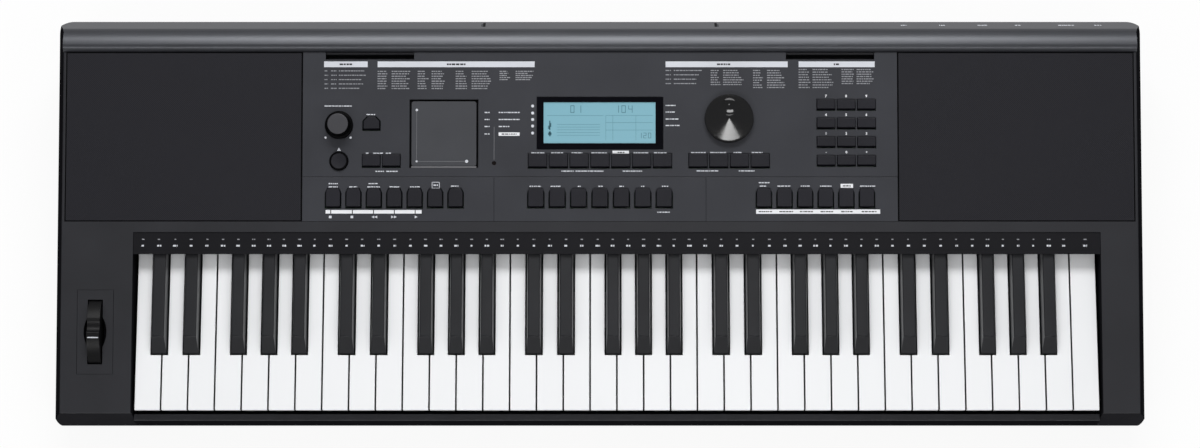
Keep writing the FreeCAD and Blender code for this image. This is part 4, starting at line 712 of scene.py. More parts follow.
class KEYBOARD_OT_shells(Operator):
    """Builds the case, the panel, the grilles and the other outer shells with soft edges"""

    bl_idname = "keyboard.shells"
    bl_label = "Shells"

    def execute(self, context):
        for node, rounding in SHELLS.items():
            slot = NODE_SLOTS[node]
            shape = paint_shell(shell(node, rounding), node == "top_case")
            finishes = (SLOT_FINISH.get(slot, slot), "wall", "crest", "block_front")
            piece(node + "_shell", shape, finishes, CASE, [node], SHELL_SMOOTH)
        deck_piece("grille_seams", [side for node in GRILLES for side in seam(node)], ["deep"])
        return {"FINISHED"}


# Keys

# A white key's notch starts at least this far from both of its ends
NOTCH_MARGIN = 2 * MM
# A side of a white key has a normal that rises less than the first and faces the player less than the second
SIDE_RISE, SIDE_FRONT = 0.3, -0.5
# Angle from which two faces of a black key meet in an edge
BENT = 0.05


def key_tail(points, sizes, x):
    """The tail that runs under the panel to the hinge."""
    tail_y = max(point.y for point in points if point.z > WHITE_TOP - NEAR)
    low = min(point.z for point in points)
    end = max(point.y for point in points)
    tail = box((x[0], tail_y, low), (x[1], end, low + sizes.tail_height))
    soften(tail, lambda edge: both(edge, lambda co: co.y > end - NEAR) and run(edge, 0) > NEAR,
           sizes.knuckle_cut, segments=1)
    return tail


def white_plan(top, sizes):
    """A white key seen from above, read from its solid."""
    front_y, tail_y = span(top, 1)
    inset = sizes.white_inset
    front = (span(top, 0)[0] + inset, span(top, 0)[1] - inset)
    rear_x = span([point for point in top if point.y > tail_y - NEAR], 0)
    rear = (rear_x[0] + inset, rear_x[1] - inset)
    between_y = [point.y for point in top if front_y + NOTCH_MARGIN < point.y < tail_y - NOTCH_MARGIN]
    notch_y = min(between_y) if between_y else tail_y
    return front, rear, notch_y, tail_y


def white_key(points, sizes):
    """A white key: rounded edges, an overhanging front lip, and its tail."""
    low, front_y = min(point.z for point in points), min(point.y for point in points)
    top = [point for point in points if point.z > WHITE_TOP - NEAR]
    front, rear, notch_y, tail_y = white_plan(top, sizes)
    right = [(front[1], front_y), (rear[1], tail_y)]
    if rear[1] < front[1] - sizes.notch_limit:
        right[1:1] = [(front[1], notch_y), (rear[1], notch_y)]
    left = [(rear[0], tail_y), (front[0], front_y)]
    if rear[0] > front[0] + sizes.notch_limit:
        left[1:1] = [(rear[0], notch_y), (front[0], notch_y)]
    key = prism([(x, y, low) for x, y in right + left], (0, 0, WHITE_TOP - low))
    lip_z = WHITE_TOP - sizes.lip_height
    bmesh.ops.bisect_plane(key, geom=[*key.verts, *key.edges, *key.faces], plane_co=(0, 0, lip_z),
                           plane_no=(0, 0, 1))
    for vert in key.verts:
        if vert.co.z < low + NEAR and vert.co.y < front_y + NEAR:
            vert.co.y += sizes.lip_undercut
    soften(key, lambda edge: at_least(edge, WHITE_TOP)
           or both(edge, lambda co: co.y < front_y + NEAR and co.z > lip_z - NEAR), sizes.white_edge)
    # The sides below the rounding take the second finish, whose dark grey is painted shade for the gaps between
    # the keys
    for face in key.faces:
        if abs(face.normal.z) < SIDE_RISE and face.normal.y > SIDE_FRONT:
            face.material_index = 1
    return [key, key_tail(points, sizes, rear)]


def black_key(points, sizes):
    """A black key: leaning sides, a sloping nose, rounded edges, and its tail."""
    low, high = span(points, 2)
    x = span(points, 0)
    front_y = min(point.y for point in points)
    tail_y = max(point.y for point in points if point.z > high - NEAR)
    lip_z = WHITE_TOP + sizes.black_lip
    key = box((x[0], front_y, low), (x[1], tail_y, lip_z))
    grown = bmesh.ops.extrude_face_region(key, geom=[roof_of(key)])["geom"]
    middle = sum(x) / 2
    for vert in [item for item in grown if isinstance(item, bmesh.types.BMVert)]:
        vert.co.x += sizes.black_taper if vert.co.x < middle else -sizes.black_taper
        vert.co.y += sizes.black_nose if vert.co.y < front_y + NEAR else 0
        vert.co.z = high
    soften(key, lambda edge: at_least(edge, lip_z) and edge.calc_face_angle(0) > BENT
           and not both(edge, lambda co: co.y > tail_y - NEAR), sizes.black_edge)
    return [key, key_tail(points, sizes, x)]


def build_keys(combs, maker, sizes, finish):
    for node in combs:
        shapes = [shape for points in islands(node) for shape in maker(points, sizes)]
        piece(node.replace("keys", finish + "s"), gather(shapes), (finish, "key_side"), node, [node])


class KEYBOARD_OT_white_keys(Operator):
    """Builds the white keys, comb by comb"""

    bl_idname = "keyboard.white_keys"
    bl_label = "White Keys"

    def execute(self, context):
        build_keys(WHITE_COMBS, white_key, context.scene.keyboard_keys, "white_key")
        return {"FINISHED"}


class KEYBOARD_OT_black_keys(Operator):
    """Builds the black keys, comb by comb"""

    bl_idname = "keyboard.black_keys"
    bl_label = "Black Keys"

    def execute(self, context):
        build_keys(BLACK_COMBS, black_key, context.scene.keyboard_keys, "black_key")
        return {"FINISHED"}


# Buttons

# Run and drop of the slanted upper corners
SHOULDERS = {
    "effect_button": (4.0 * MM, 4.0 * MM), "lower_left_buttons": (1.5 * MM, 3.4 * MM),
    "lower_middle_buttons": (0.7 * MM, 1.5 * MM), "lower_right_buttons": (0.9 * MM, 2.0 * MM),
}
# The round cap: depth of its dish, where the dish bends and how deep it is there, and the cut of its edge
CAP_DISH = 0.5 * MM
BEND_OUT, BEND_DOWN, EDGE_CUT = 0.55, 0.8, 0.3
WEB_W = (-2 * MM, -0.05 * MM)


def cap_outline(u, v, shoulder):
    """A cap seen from above, with slanted upper corners where it has them."""
    if shoulder is None:
        return [(u[0], v[0]), (u[1], v[0]), (u[1], v[1]), (u[0], v[1])]
    run_u, drop = shoulder
    return [(u[0], v[0]), (u[1], v[0]), (u[1], v[1] - drop), (u[1] - run_u, v[1]), (u[0] + run_u, v[1]),
            (u[0], v[1] - drop)]


def button_cap(points, sizes, shoulder):
    """One cap: a sloping front wall and rounded edges."""
    high = max(point.z for point in points)
    flank = [point for point in points if 0 < point.z < high - NEAR]
    u, v = span(flank, 0), span(flank, 1)
    side = sizes.button_side if shoulder else 0
    u, v = (u[0] + side, u[1] - side), (v[0] + sizes.button_gap, v[1])
    outline = cap_outline(u, v, shoulder)
    shape = prism([(x, y, sizes.button_low) for x, y in outline], (0, 0, high - sizes.button_low))
    for vert in shape.verts:
        if vert.co.z > high - NEAR and vert.co.y < v[0] + NEAR:
            vert.co.y += sizes.button_front
    soften(shape, lambda edge: at_least(edge, high) or run(edge, 2) > high, sizes.button_edge)
    return shape


def round_cap(points, sizes):
    """A round cap with a dished top."""
    cap = [point for point in points if point.z > 0]
    u, v, high = span(cap, 0), span(cap, 1), max(point.z for point in cap)
    radius, edge, low = (u[1] - u[0]) / 2, sizes.button_edge, sizes.button_low
    shaded_from = radius - sizes.shaded_ring_width
    cut = edge * EDGE_CUT
    profile = [(0, low), (radius, low), (radius, high - edge), (radius - cut, high - cut),
               (radius - edge, high), (shaded_from, high), (radius * BEND_OUT, high - CAP_DISH * BEND_DOWN),
               (0, high - CAP_DISH)]
    shape = turned(profile, CAP_STEPS)
    # The cap's outer ring takes the second finish, near black, as painted shade for the recess round the button
    for face in shape.faces:
        if face.calc_center_median().xy.length > shaded_from:
            face.material_index = 1
    return placed(shape, Matrix.Translation((sum(u) / 2, sum(v) / 2, 0)))


class KEYBOARD_OT_buttons(Operator):
    """Builds the button caps, group by group"""

    bl_idname = "keyboard.buttons"
    bl_label = "Buttons"

    def execute(self, context):
        sizes = context.scene.keyboard_controls
        for node in BUTTON_NODES:
            caps = [to_deck(points) for points in islands(node)]
            if node == "power_button":
                shapes = [round_cap(cap, sizes) for cap in caps]
            else:
                shapes = [button_cap(cap, sizes, SHOULDERS.get(node)) for cap in caps]
            deck_piece(node + "_caps", shapes, ("button", "deep"), node, [node])
        deck_piece("panel_webs", self.webs(sizes), ["panel"])
        return {"FINISHED"}

    def webs(self, sizes):
        """The bars of the panel between neighbouring buttons."""
        rows = {}
        for node in BUTTON_NODES:
            for points in islands(node):
                cap = [point for point in to_deck(points) if point.z > 0]
                rows.setdefault(tuple(round(v, ROW_DIGITS) for v in span(cap, 1)), []).append(span(cap, 0))
        shapes = []
        for (front, rear), caps in rows.items():
            caps.sort()
            v = (front - sizes.web_root, rear + sizes.web_root)
            for left, right in zip(caps, caps[1:]):
                if right[0] - left[1] < sizes.web_limit:
                    shapes.append(deck_box((left[1] + sizes.web_gap, right[0] - sizes.web_gap), v, WEB_W))
        return shapes


# Knob, dial and wheel

# Outlines: a radius and a height by name, each followed by its offset in millimetres
KNOB_OUTLINE = (
    ("middle", 0, "low", 0), ("skirt", 0, "low", 0), ("skirt", 0, "low", 1.6), ("skirt", -0.3, "low", 2.2),
    ("skirt", -0.9, "low", 2.5), ("grip", 0.3, "low", 2.7), ("grip", 0, "low", 3.2),
    ("grip", -0.3, "high", -2.0), ("grip", -0.5, "high", -1.2), ("cap", 0.1, "high", -0.5),
    ("cap", 0, "high", -0.45), ("cap", -0.3, "high", -0.1), ("cap", -0.8, "high", 0),
    ("middle", 0, "high", 0),
)
# Where the ribs start and end, how deep the grey cap reaches, and which part of each rib's width is sunk
RIB_FOOT, RIB_TOP, CAP_REACH = 3.1 * MM, 1.9 * MM, 0.47 * MM
RIB_SUNK = (0.4, 0.9)
DIAL_SIDE = (
    ("middle", 0, "low", 0), ("edge", -0.6, "low", 0), ("edge", 0, "low", 0.8), ("edge", 0, "rim", -1.2),
    ("edge", -0.25, "rim", -0.6), ("edge", -0.8, "rim", -0.1), ("edge", -1.4, "rim", 0.05),
)
DIAL_CONE = (("edge", -1.8, "rim", 0.09), ("middle", 0.9, "high", -0.06))
DIAL_TIP = (("middle", 0.4, "high", -0.02), ("middle", 0, "high", 0))
# Steps down the cone and up the dimple's bowl, and how many of these make one step of its rim
CONE_STEPS, BOWL_STEPS, RIM_STRIDE = 32, 24, 4
# Height of the dimple's cutter, and how far out and up it flares past the rim
CUTTER_TOP, FLARE_OUT, FLARE_UP = 4 * MM, 1 * MM, 0.1 * MM
DIAL_SMOOTH = math.radians(20)
RIM_ANGLE = math.radians(60)
# The white mark of the wheel: share of the width, half of its length, and how far it is sunk and proud
MARK_SHARE, MARK_HALF, MARK_ROOT, MARK_PROUD = 0.42, 0.5 * MM, 0.1 * MM, 0.06 * MM


def on_deck_at(place):
    """The deck's frame moved under a place."""
    local = TO_DECK @ place
    return DECK @ Matrix.Translation((local.x, local.y, 0))


class KEYBOARD_OT_volume_knob(Operator):
    """Builds the volume knob: skirt, ribbed grip and grey cap"""

    bl_idname = "keyboard.volume_knob"
    bl_label = "Volume Knob"

    def execute(self, context):
        sizes = context.scene.keyboard_controls
        low, high, grip = sizes.running_gap, sizes.knob_height, sizes.knob_grip
        corners = {"middle": 0, "skirt": sizes.knob_skirt, "grip": grip, "cap": sizes.knob_cap, "low": low,
                   "high": high}
        shape = turned(traced(KNOB_OUTLINE, corners), STEPS_PER_RIB * sizes.knob_ribs)
        step = math.tau / sizes.knob_ribs
        for vert in shape.verts:
            if low + RIB_FOOT < vert.co.z < high - RIB_TOP:
                phase = (math.atan2(vert.co.y, vert.co.x) / step) % 1.0
                if RIB_SUNK[0] < phase < RIB_SUNK[1]:
                    vert.co.xy *= 1 - sizes.rib_depth / grip
        for face in shape.faces:
            if face.calc_center_median().z > high - CAP_REACH:
                face.material_index = 1
        placed(shape, on_deck_at(KNOB_PLACE))
        piece("volume_knob_turning", shape, ("deep", "cap"), "volume_knob", ["volume_knob"])
        return {"FINISHED"}


class KEYBOARD_OT_data_dial(Operator):
    """Builds the data dial: a low cone with a finger dimple"""

    bl_idname = "keyboard.data_dial"
    bl_label = "Data Dial"

    def execute(self, context):
        sizes = context.scene.keyboard_controls
        radius, high, drop = sizes.dial_radius, sizes.dial_height, sizes.dial_drop
        corners = {"middle": 0, "edge": radius, "low": sizes.running_gap, "rim": high - drop, "high": high}
        flank, nose = traced(DIAL_CONE, corners)
        cone = [tuple(a + (b - a) * step / CONE_STEPS for a, b in zip(flank, nose))
                for step in range(CONE_STEPS + 1)]
        disc = turned(traced(DIAL_SIDE, corners) + cone + traced(DIAL_TIP, corners), DIAL_STEPS)
        face_high = high - drop * sizes.dimple_reach / radius
        lean = Matrix.Rotation(-math.atan(drop / radius), 4, "X")
        bowl = placed(self.bowl(sizes), Matrix.Translation((0, sizes.dimple_reach, face_high)) @ lean)
        shape = placed(carved(disc, bowl), on_deck_at(DIAL_PLACE))
        piece("data_dial_turning", shape, ["dial"], "data_dial", ["data_dial"], DIAL_SMOOTH)
        return {"FINISHED"}

    def bowl(self, sizes):
        """What the dimple takes out of the dial: a shallow bowl that flares at its rim."""
        lip = sizes.dimple_lip
        steep = 2 * math.atan(sizes.dimple_depth / sizes.dimple_radius)
        hollow = sizes.dimple_radius / math.sin(steep) - lip
        lean = [steep * step / BOWL_STEPS for step in range(BOWL_STEPS + 1)]
        profile = [(hollow * math.sin(a), hollow * (1 - math.cos(a)) - sizes.dimple_depth) for a in lean]
        edge, rise = profile[-1]
        profile += [(edge + lip * (math.sin(steep) - math.sin(a)),
                     rise + lip * (math.cos(a) - math.cos(steep))) for a in lean[-RIM_STRIDE::-RIM_STRIDE]]
        edge, rise = profile[-1]
        outer = edge + FLARE_OUT
        return turned([*profile, (outer, rise + FLARE_UP), (outer, CUTTER_TOP), (0, CUTTER_TOP)], BOWL_TURN)


def drum(radius, width, steps):
    """A solid drum with its axle along X."""
    shape = bmesh.new()
    bmesh.ops.create_cone(shape, cap_ends=True, segments=steps, radius1=radius, radius2=radius, depth=width)
    return placed(shape, Matrix.Rotation(math.radians(90), 4, "Y"))


def wheel_body(sizes):
    """The wheel about its axle: a disc cut off below, with a thumb notch."""
    notch = placed(drum(sizes.notch_radius, 2 * sizes.wheel_width, NOTCH_STEPS),
                   Matrix.Translation((0, sizes.notch_lead, sizes.wheel_radius + sizes.notch_standoff)))
    wheel = carved(drum(sizes.wheel_radius, sizes.wheel_width, WHEEL_STEPS), notch)
    cut = bmesh.ops.bisect_plane(wheel, geom=[*wheel.verts, *wheel.edges, *wheel.faces],
                                 plane_co=(0, 0, -sizes.wheel_cut), plane_no=(0, 0, -1), clear_outer=True)
    open_edges = [item for item in cut["geom_cut"] if isinstance(item, bmesh.types.BMEdge)]
    bmesh.ops.holes_fill(wheel, edges=open_edges)
    bmesh.ops.recalc_face_normals(wheel, faces=wheel.faces)
    return wheel


class KEYBOARD_OT_pitch_wheel(Operator):
    """Builds the pitch wheel with its thumb notch and white mark"""

    bl_idname = "keyboard.pitch_wheel"
    bl_label = "Pitch Wheel"

    mark_angle: FloatProperty(name="Mark", description="Where the white mark sits, ahead of the top",
                              default=math.radians(8.0), subtype="ANGLE")

    def execute(self, context):
        sizes = context.scene.keyboard_controls
        wheel = wheel_body(sizes)
        soften(wheel, lambda edge: edge.calc_face_angle(0) > RIM_ANGLE, sizes.wheel_edge, segments=2)
        half, radius = sizes.wheel_width * MARK_SHARE, sizes.wheel_radius
        mark = box((-half, -MARK_HALF, radius - MARK_ROOT), (half, MARK_HALF, radius + MARK_PROUD))
        placed(mark, Matrix.Rotation(self.mark_angle, 4, "X"))
        shape = gather([wheel, painted(mark, 1)])
        placed(shape, Matrix.Translation(WHEEL_PLACE) @ Matrix.Rotation(TILT, 4, "X"))
        piece("pitch_wheel_turning", shape, ("black", "ink"), "pitch_wheel", ["pitch_wheel"])
        return {"FINISHED"}


# Display and touch pad, in millimetres on the deck where no unit is given

FIELD_U = (-49.7 * MM, 48.9 * MM)
FIELD_V = (69.0 * MM, 105.3 * MM)
FIELD_DEPTH = 0.6 * MM
WINDOW_EDGE, WINDOW_BORDER, FIELD_WALL = 0.3 * MM, 4 * MM, 0.05 * MM
SEGMENTS_W = (-FIELD_DEPTH - 0.02 * MM, -FIELD_DEPTH + 0.03 * MM)
SEGMENT_DIGITS = {"0": "abcdef", "1": "bc", "2": "abged", "4": "fgbc"}
# Left and right end and height of each line across the display, the staves first
RULES = (
    *((-38.0, 0.0, 76.0 + 2.4 * line) for line in range(5)),
    (5.0, 46.5, 93.5), (5.0, 46.5, 87.2), (5.0, 46.5, 80.6), (-46.5, 3.0, 93.5),
)
UPRIGHTS = (5.0, 11.2, 31.5)
UPRIGHT_V = (71.5, 93.5)
RULE_WIDTH = 0.22
# The sign before the staves, as bars: left, right, low, high
STAVE_SIGN = (
    (-44.7, -43.7, 80.8, 89.0), (-45.7, -43.7, 81.6, 84.6), (-44.4, -42.9, 83.4, 87.0),
    (-45.7, -42.7, 76.2, 78.6), (-44.9, -43.5, 75.2, 79.6),
)
# Numbers in the display: left end, step from digit to digit, foot, and a digit's width, height and stroke
DISPLAY_NUMBERS = (
    ("104", 13.0, 6.0, 96.0, 3.6, 6.5, 0.5), ("120", 34.0, 4.2, 73.5, 2.6, 4.8, 0.4),
    ("01", -26.0, 6.0, 96.0, 3.4, 6.5, 0.5),
)
PAD_GAP, PAD_CORNER, PAD_EDGE = 1.5 * MM, 2.0 * MM, 0.25 * MM
# Painted shade and highlight: the near-black well round the pad, how far it reaches under the pad and its height;
# then the light grey sill along its front, its share of the gap and how far it reaches in and stands proud
WELL_ROOT, WELL_HEIGHT = 0.05 * MM, 0.4 * MM
SILL_SHARE, SILL_ROOT, SILL_PROUD = 0.9, 0.6 * MM, 0.4 * MM
# The pad's printed axes as bars, and the dots at their ends with their radius
PAD_AXES = ((-161.5, -161.26, 53.1, 98.4), (-161.5, -117.3, 52.9, 53.14))
PAD_DOTS = ((-161.35, 98.4, 1.1), (-161.35, 53.05, 0.9), (-117.3, 53.05, 1.4))
INK_ROOT, INK_PROUD = 0.03 * MM, 0.05 * MM


def segment_digit(digit, u, v, width, height, stroke):
    """A number made of straight segments."""
    right, middle, top = u + width, v + height / 2, v + height
    sides = {
        "a": (u, right, top - stroke, top), "d": (u, right, v, v + stroke),
        "g": (u, right, middle - stroke / 2, middle + stroke / 2),
        "f": (u, u + stroke, middle, top), "b": (right - stroke, right, middle, top),
        "e": (u, u + stroke, v, middle), "c": (right - stroke, right, v, middle),
    }
    return [bar(*sides[name], SEGMENTS_W) for name in SEGMENT_DIGITS[digit]]


class KEYBOARD_OT_display(Operator):
    """Builds the display: a black window with a sunk lit field and its marks"""

    bl_idname = "keyboard.display"
    bl_label = "Display"

    def execute(self, context):
        u, v, w = deck_spans("display_window")
        window = deck_box(u, v, w)
        soften(window, lambda edge: at_least(edge, w[1]), WINDOW_EDGE, segments=2)
        roof = roof_of(window)
        bmesh.ops.inset_region(window, faces=[roof], thickness=WINDOW_BORDER, depth=0)
        middle = roof.calc_center_median()
        for vert in roof.verts:
            vert.co.x = FIELD_U[0] if vert.co.x < middle.x else FIELD_U[1]
            vert.co.y = FIELD_V[0] if vert.co.y < middle.y else FIELD_V[1]
        bmesh.ops.inset_region(window, faces=[roof], thickness=FIELD_WALL, depth=-FIELD_DEPTH)
        roof.material_index = 1
        deck_piece("display_front", [window], ("gloss", "display"), CASE,
                   ["display_window"])
        deck_piece("display_marks", self.marks(), ["segments"])
        return {"FINISHED"}

    def marks(self):
        """Staves, rules and numbers in the lit field."""
        shapes = [bar(left, right, v, v + RULE_WIDTH, SEGMENTS_W) for left, right, v in RULES]
        shapes += [bar(u, u + RULE_WIDTH, *UPRIGHT_V, SEGMENTS_W) for u in UPRIGHTS]
        shapes += [bar(*sides, SEGMENTS_W) for sides in STAVE_SIGN]
        for text, left, step, foot, *size in DISPLAY_NUMBERS:
            for index, digit in enumerate(text):
                shapes += segment_digit(digit, left + step * index, foot, *size)
        return shapes


class KEYBOARD_OT_touch_pad(Operator):
    """Builds the square touch pad with its printed axes"""

    bl_idname = "keyboard.touch_pad"
    bl_label = "Touch Pad"

    def execute(self, context):
        u, v, w = deck_spans("touch_pad")
        left, right = u[0] + PAD_GAP, u[1] - PAD_GAP
        pad = deck_box((left, right), (v[0] + PAD_GAP, v[1] - PAD_GAP), w)
        soften(pad, lambda edge: run(edge, 2) > NEAR, PAD_CORNER, segments=6)
        soften(pad, lambda edge: at_least(edge, w[1]), PAD_EDGE, segments=2)
        deck_piece("touch_pad_film", [pad], ["pad"], CASE, ["touch_pad"])
        # The well's near black is painted shade in the gap round the pad, and the grey sill along its front a
        # painted highlight
        well = deck_box(u, v, (w[0] - WELL_ROOT, w[0] + WELL_HEIGHT))
        foot = w[1] - SILL_ROOT
        wedge = [(left, v[0], foot), (left, v[0] + PAD_GAP * SILL_SHARE, foot),
                 (left, v[0], w[1] + SILL_PROUD)]
        sill = painted(prism(wedge, (right - left, 0, 0)), 1)
        deck_piece("touch_pad_well", [well, sill], ("deep", "trim"))
        ink = (w[1] - INK_ROOT, w[1] + INK_PROUD)
        shapes = [bar(*sides, ink) for sides in PAD_AXES]
        shapes += [painted(dot(*spot, ink, PAD_DOT_STEPS), 1) for spot in PAD_DOTS]
        deck_piece("touch_pad_print", shapes, ("faint_ink", "ink"))
        return {"FINISHED"}


# Print on the panel, in millimetres on the deck

HEADER_BARS = ((-243.2, -204.8), (-196.0, -57.6), (57.8, 165.4), (175.1, 242.1))
HEADER_V = (136.3, 141.4)
HEADER_WORDS = ((-229.5, -218.5), (-135.0, -118.5), (103.0, 115.0), (206.0, 211.0))
# Lowest and highest line, count of lines, and the left and right end of each column
LISTS = (
    (117.6, 133.0, 5, ((-242.7, -239.6), (-237.0, -232.0), (-230.2, -205.0))),
    (117.4, 132.6, 8, ((-196.0, -185.4), (-183.6, -166.9), (-160.7, -151.0), (-148.4, -135.2),
                       (-127.2, -116.7), (-113.1, -95.5))),
    (125.3, 132.6, 5, ((-88.5, -78.8), (-74.4, -58.5))),
    (121.8, 133.4, 4, ((57.8, 62.5), (65.0, 90.4))),
    (120.9, 133.4, 7, ((97.5, 106.5), (108.5, 127.4))),
    (118.3, 133.4, 8, ((134.9, 144.2), (147.2, 164.4))),
    (118.3, 134.2, 8, ((175.0, 185.6), (187.3, 205.8))),
    (121.8, 134.2, 7, ((212.9, 224.4), (226.1, 242.0))),
)
# Columns wider than this have lines of differing length, down to this share of the width
RAGGED_FROM, RAGGED_SHARE = 8, (0.65, 1.0)
# Left and right end and height up the deck of each single label
LABELS = (
    (-242.5, -218.8, 101.9), (-205.5, -197.6, 94.4), (-206.0, -203.5, 60.2), (-199.5, -190.5, 60.2),
    (-188.5, -183.5, 60.2), (-197.5, -190.0, 44.2), (-188.0, -178.0, 44.2),
    (-101.6, -97.2, 96.2), (-101.6, -97.2, 90.0), (-101.6, -97.2, 83.8), (-101.6, -97.2, 77.2),
    (-89.2, -70.8, 96.2), (-89.2, -70.8, 90.0), (-89.2, -79.5, 83.8),
    (57.8, 66.5, 102.4), (57.8, 66.5, 96.6), (57.8, 69.0, 90.4), (57.8, 70.0, 84.7),
    (-60.5, -49.0, 60.6), (-43.0, -32.5, 60.6), (-25.0, -15.5, 60.6), (-7.5, 6.0, 60.6), (29.5, 43.0, 60.6),
    (47.5, 58.5, 60.6), (-34.0, -23.0, 44.4), (-21.5, 3.0, 44.4), (20.0, 37.0, 44.4),
    (80.0, 93.0, 60.8), (97.0, 111.0, 60.8), (117.5, 125.0, 60.8), (133.5, 143.0, 60.8),
    (85.0, 104.5, 44.6), (122.0, 136.5, 44.6),
    (-238.5, -230.5, 33.4), (-238.5, -230.5, 30.5), (-220.5, -213.5, 30.5), (-203.5, -195.5, 33.4),
    (-204.5, -193.5, 30.5), (-185.0, -176.5, 30.5), (-167.0, -158.5, 30.5), (-131.0, -124.0, 31.2),
    (-62.0, -52.5, 31.0), (-43.5, -34.5, 31.0), (-19.5, -17.0, 31.0), (-1.5, 3.0, 31.0), (17.0, 21.0, 31.0),
    (36.0, 39.0, 31.0), (54.5, 60.0, 31.0), (50.5, 62.0, 8.2),
    (139.5, 149.0, 34.2), (140.5, 146.0, 31.2), (156.0, 168.0, 31.2), (176.5, 184.5, 31.2),
    (193.5, 203.5, 31.2), (228.5, 242.0, 31.2),
)
# White boxes with dark words: left, right, low, high
BOXES = (
    (-89.2, -70.8, 75.6, 78.6), (11.0, 25.5, 59.4, 62.4), (211.5, 222.5, 29.6, 33.2),
    (137.2, 246.2, 6.8, 10.6), (-241.1, -156.7, 7.0, 10.1),
)
# Dark words in the small boxes, then those of the long box on the right and the ticks of the one on the left
BOX_WORDS = ((-86.5, -73.5, 77.1), (15.5, 21.5, 60.9), (213.5, 220.5, 31.4))
LONG_BOX_WORDS = tuple(139.5 + 18.1 * index for index in range(6))
LONG_BOX_LENGTH, LONG_BOX_V = (9.5, 14), 8.7
BAR_TICKS_LEFT = (-236.6, -217.6, -199.0, -180.7, -162.4)
TICK_HALF, TICK_V = 0.4, (7.0, 10.1)
# Dots with their radius, the arrow over the power button, and the lamp's line
DOTS = (
    (-241.5, 74.0, 1.0), (-219.5, 74.0, 1.0), *((-59.3, v, 1.3) for v in (101.9, 95.7, 90.0, 84.2, 78.0)),
)
ARROW = ((-231.4, 62.3), (-228.0, 62.3), (-229.7, 65.2))
LAMP_LINE = (-93.35, -93.05, 54.4, 83.2)
# Small signs under the lower left row: squares, and triangles with the way they point
SQUARES, SQUARE_V = (-237.0, -218.0), (2.9, 5.1)
TRIANGLES = ((-199.5, -1), (-196.9, -1), (-182.3, 1), (-179.7, 1), (-161.5, 1))
SIGN_HALF, TRIANGLE_V = 1.2, (4.0, 5.2, 2.8)
# The small framed word on the left
FRAME_U, FRAME_V, FRAME_HALF = (-147.6, -141.2), (29.4, 34.6), 0.25
FRAMED_WORD, FRAMED_HEIGHT = (-146.4, -142.4, 32.0), 1.2 * MM
NUMBER_ROWS = ("-0+", "123", "456", "789")
NUMBER_RISE = 2.9 * MM
# How much bolder than the font a number is, as a share of its size, and how close its points merge
BOLDER, NUMBER_MERGE = 1 / 25, MERGE / 5
# Length of the short bars of a word, the gap between them, and what is too short for one more
WORD_LENGTH, WORD_GAP, WORD_REST = (0.9, 3.2), (0.35, 0.7), 0.4
# Height of header words and lists against a small letter, and thickness of print on print against the ink
HEADER_SHARE, LIST_SHARE, OVER_SHARE = 1.5, 0.9, 1.6
# Places in the panel print's list of finishes
BRIGHT, FAINT, LIST = 1, 2, 3


def words(left, right, v, height, draw, w):
    """Small lettering as a run of short bars."""
    shapes = []
    at = left
    while at < right - WORD_REST:
        end = min(right, at + draw.uniform(*WORD_LENGTH))
        shapes.append(deck_box((at * MM, end * MM), (v * MM - height / 2, v * MM + height / 2), w))
        at = end + draw.uniform(*WORD_GAP)
    return shapes


def figure(text, size, thickness):
    """A number or sign as a flat solid about its own middle."""
    letters = bpy.data.curves.new("figure", "FONT")
    letters.body, letters.size, letters.extrude, letters.offset = text, size, thickness / 2, size * BOLDER
    letters.align_x, letters.align_y = "CENTER", "CENTER"
    letters.resolution_u = 3
    item = add_object("figure", letters)
    shape = shape_of(item)
    bmesh.ops.remove_doubles(shape, verts=shape.verts, dist=NUMBER_MERGE)
    bpy.data.objects.remove(item)
    bpy.data.curves.remove(letters)
    return shape


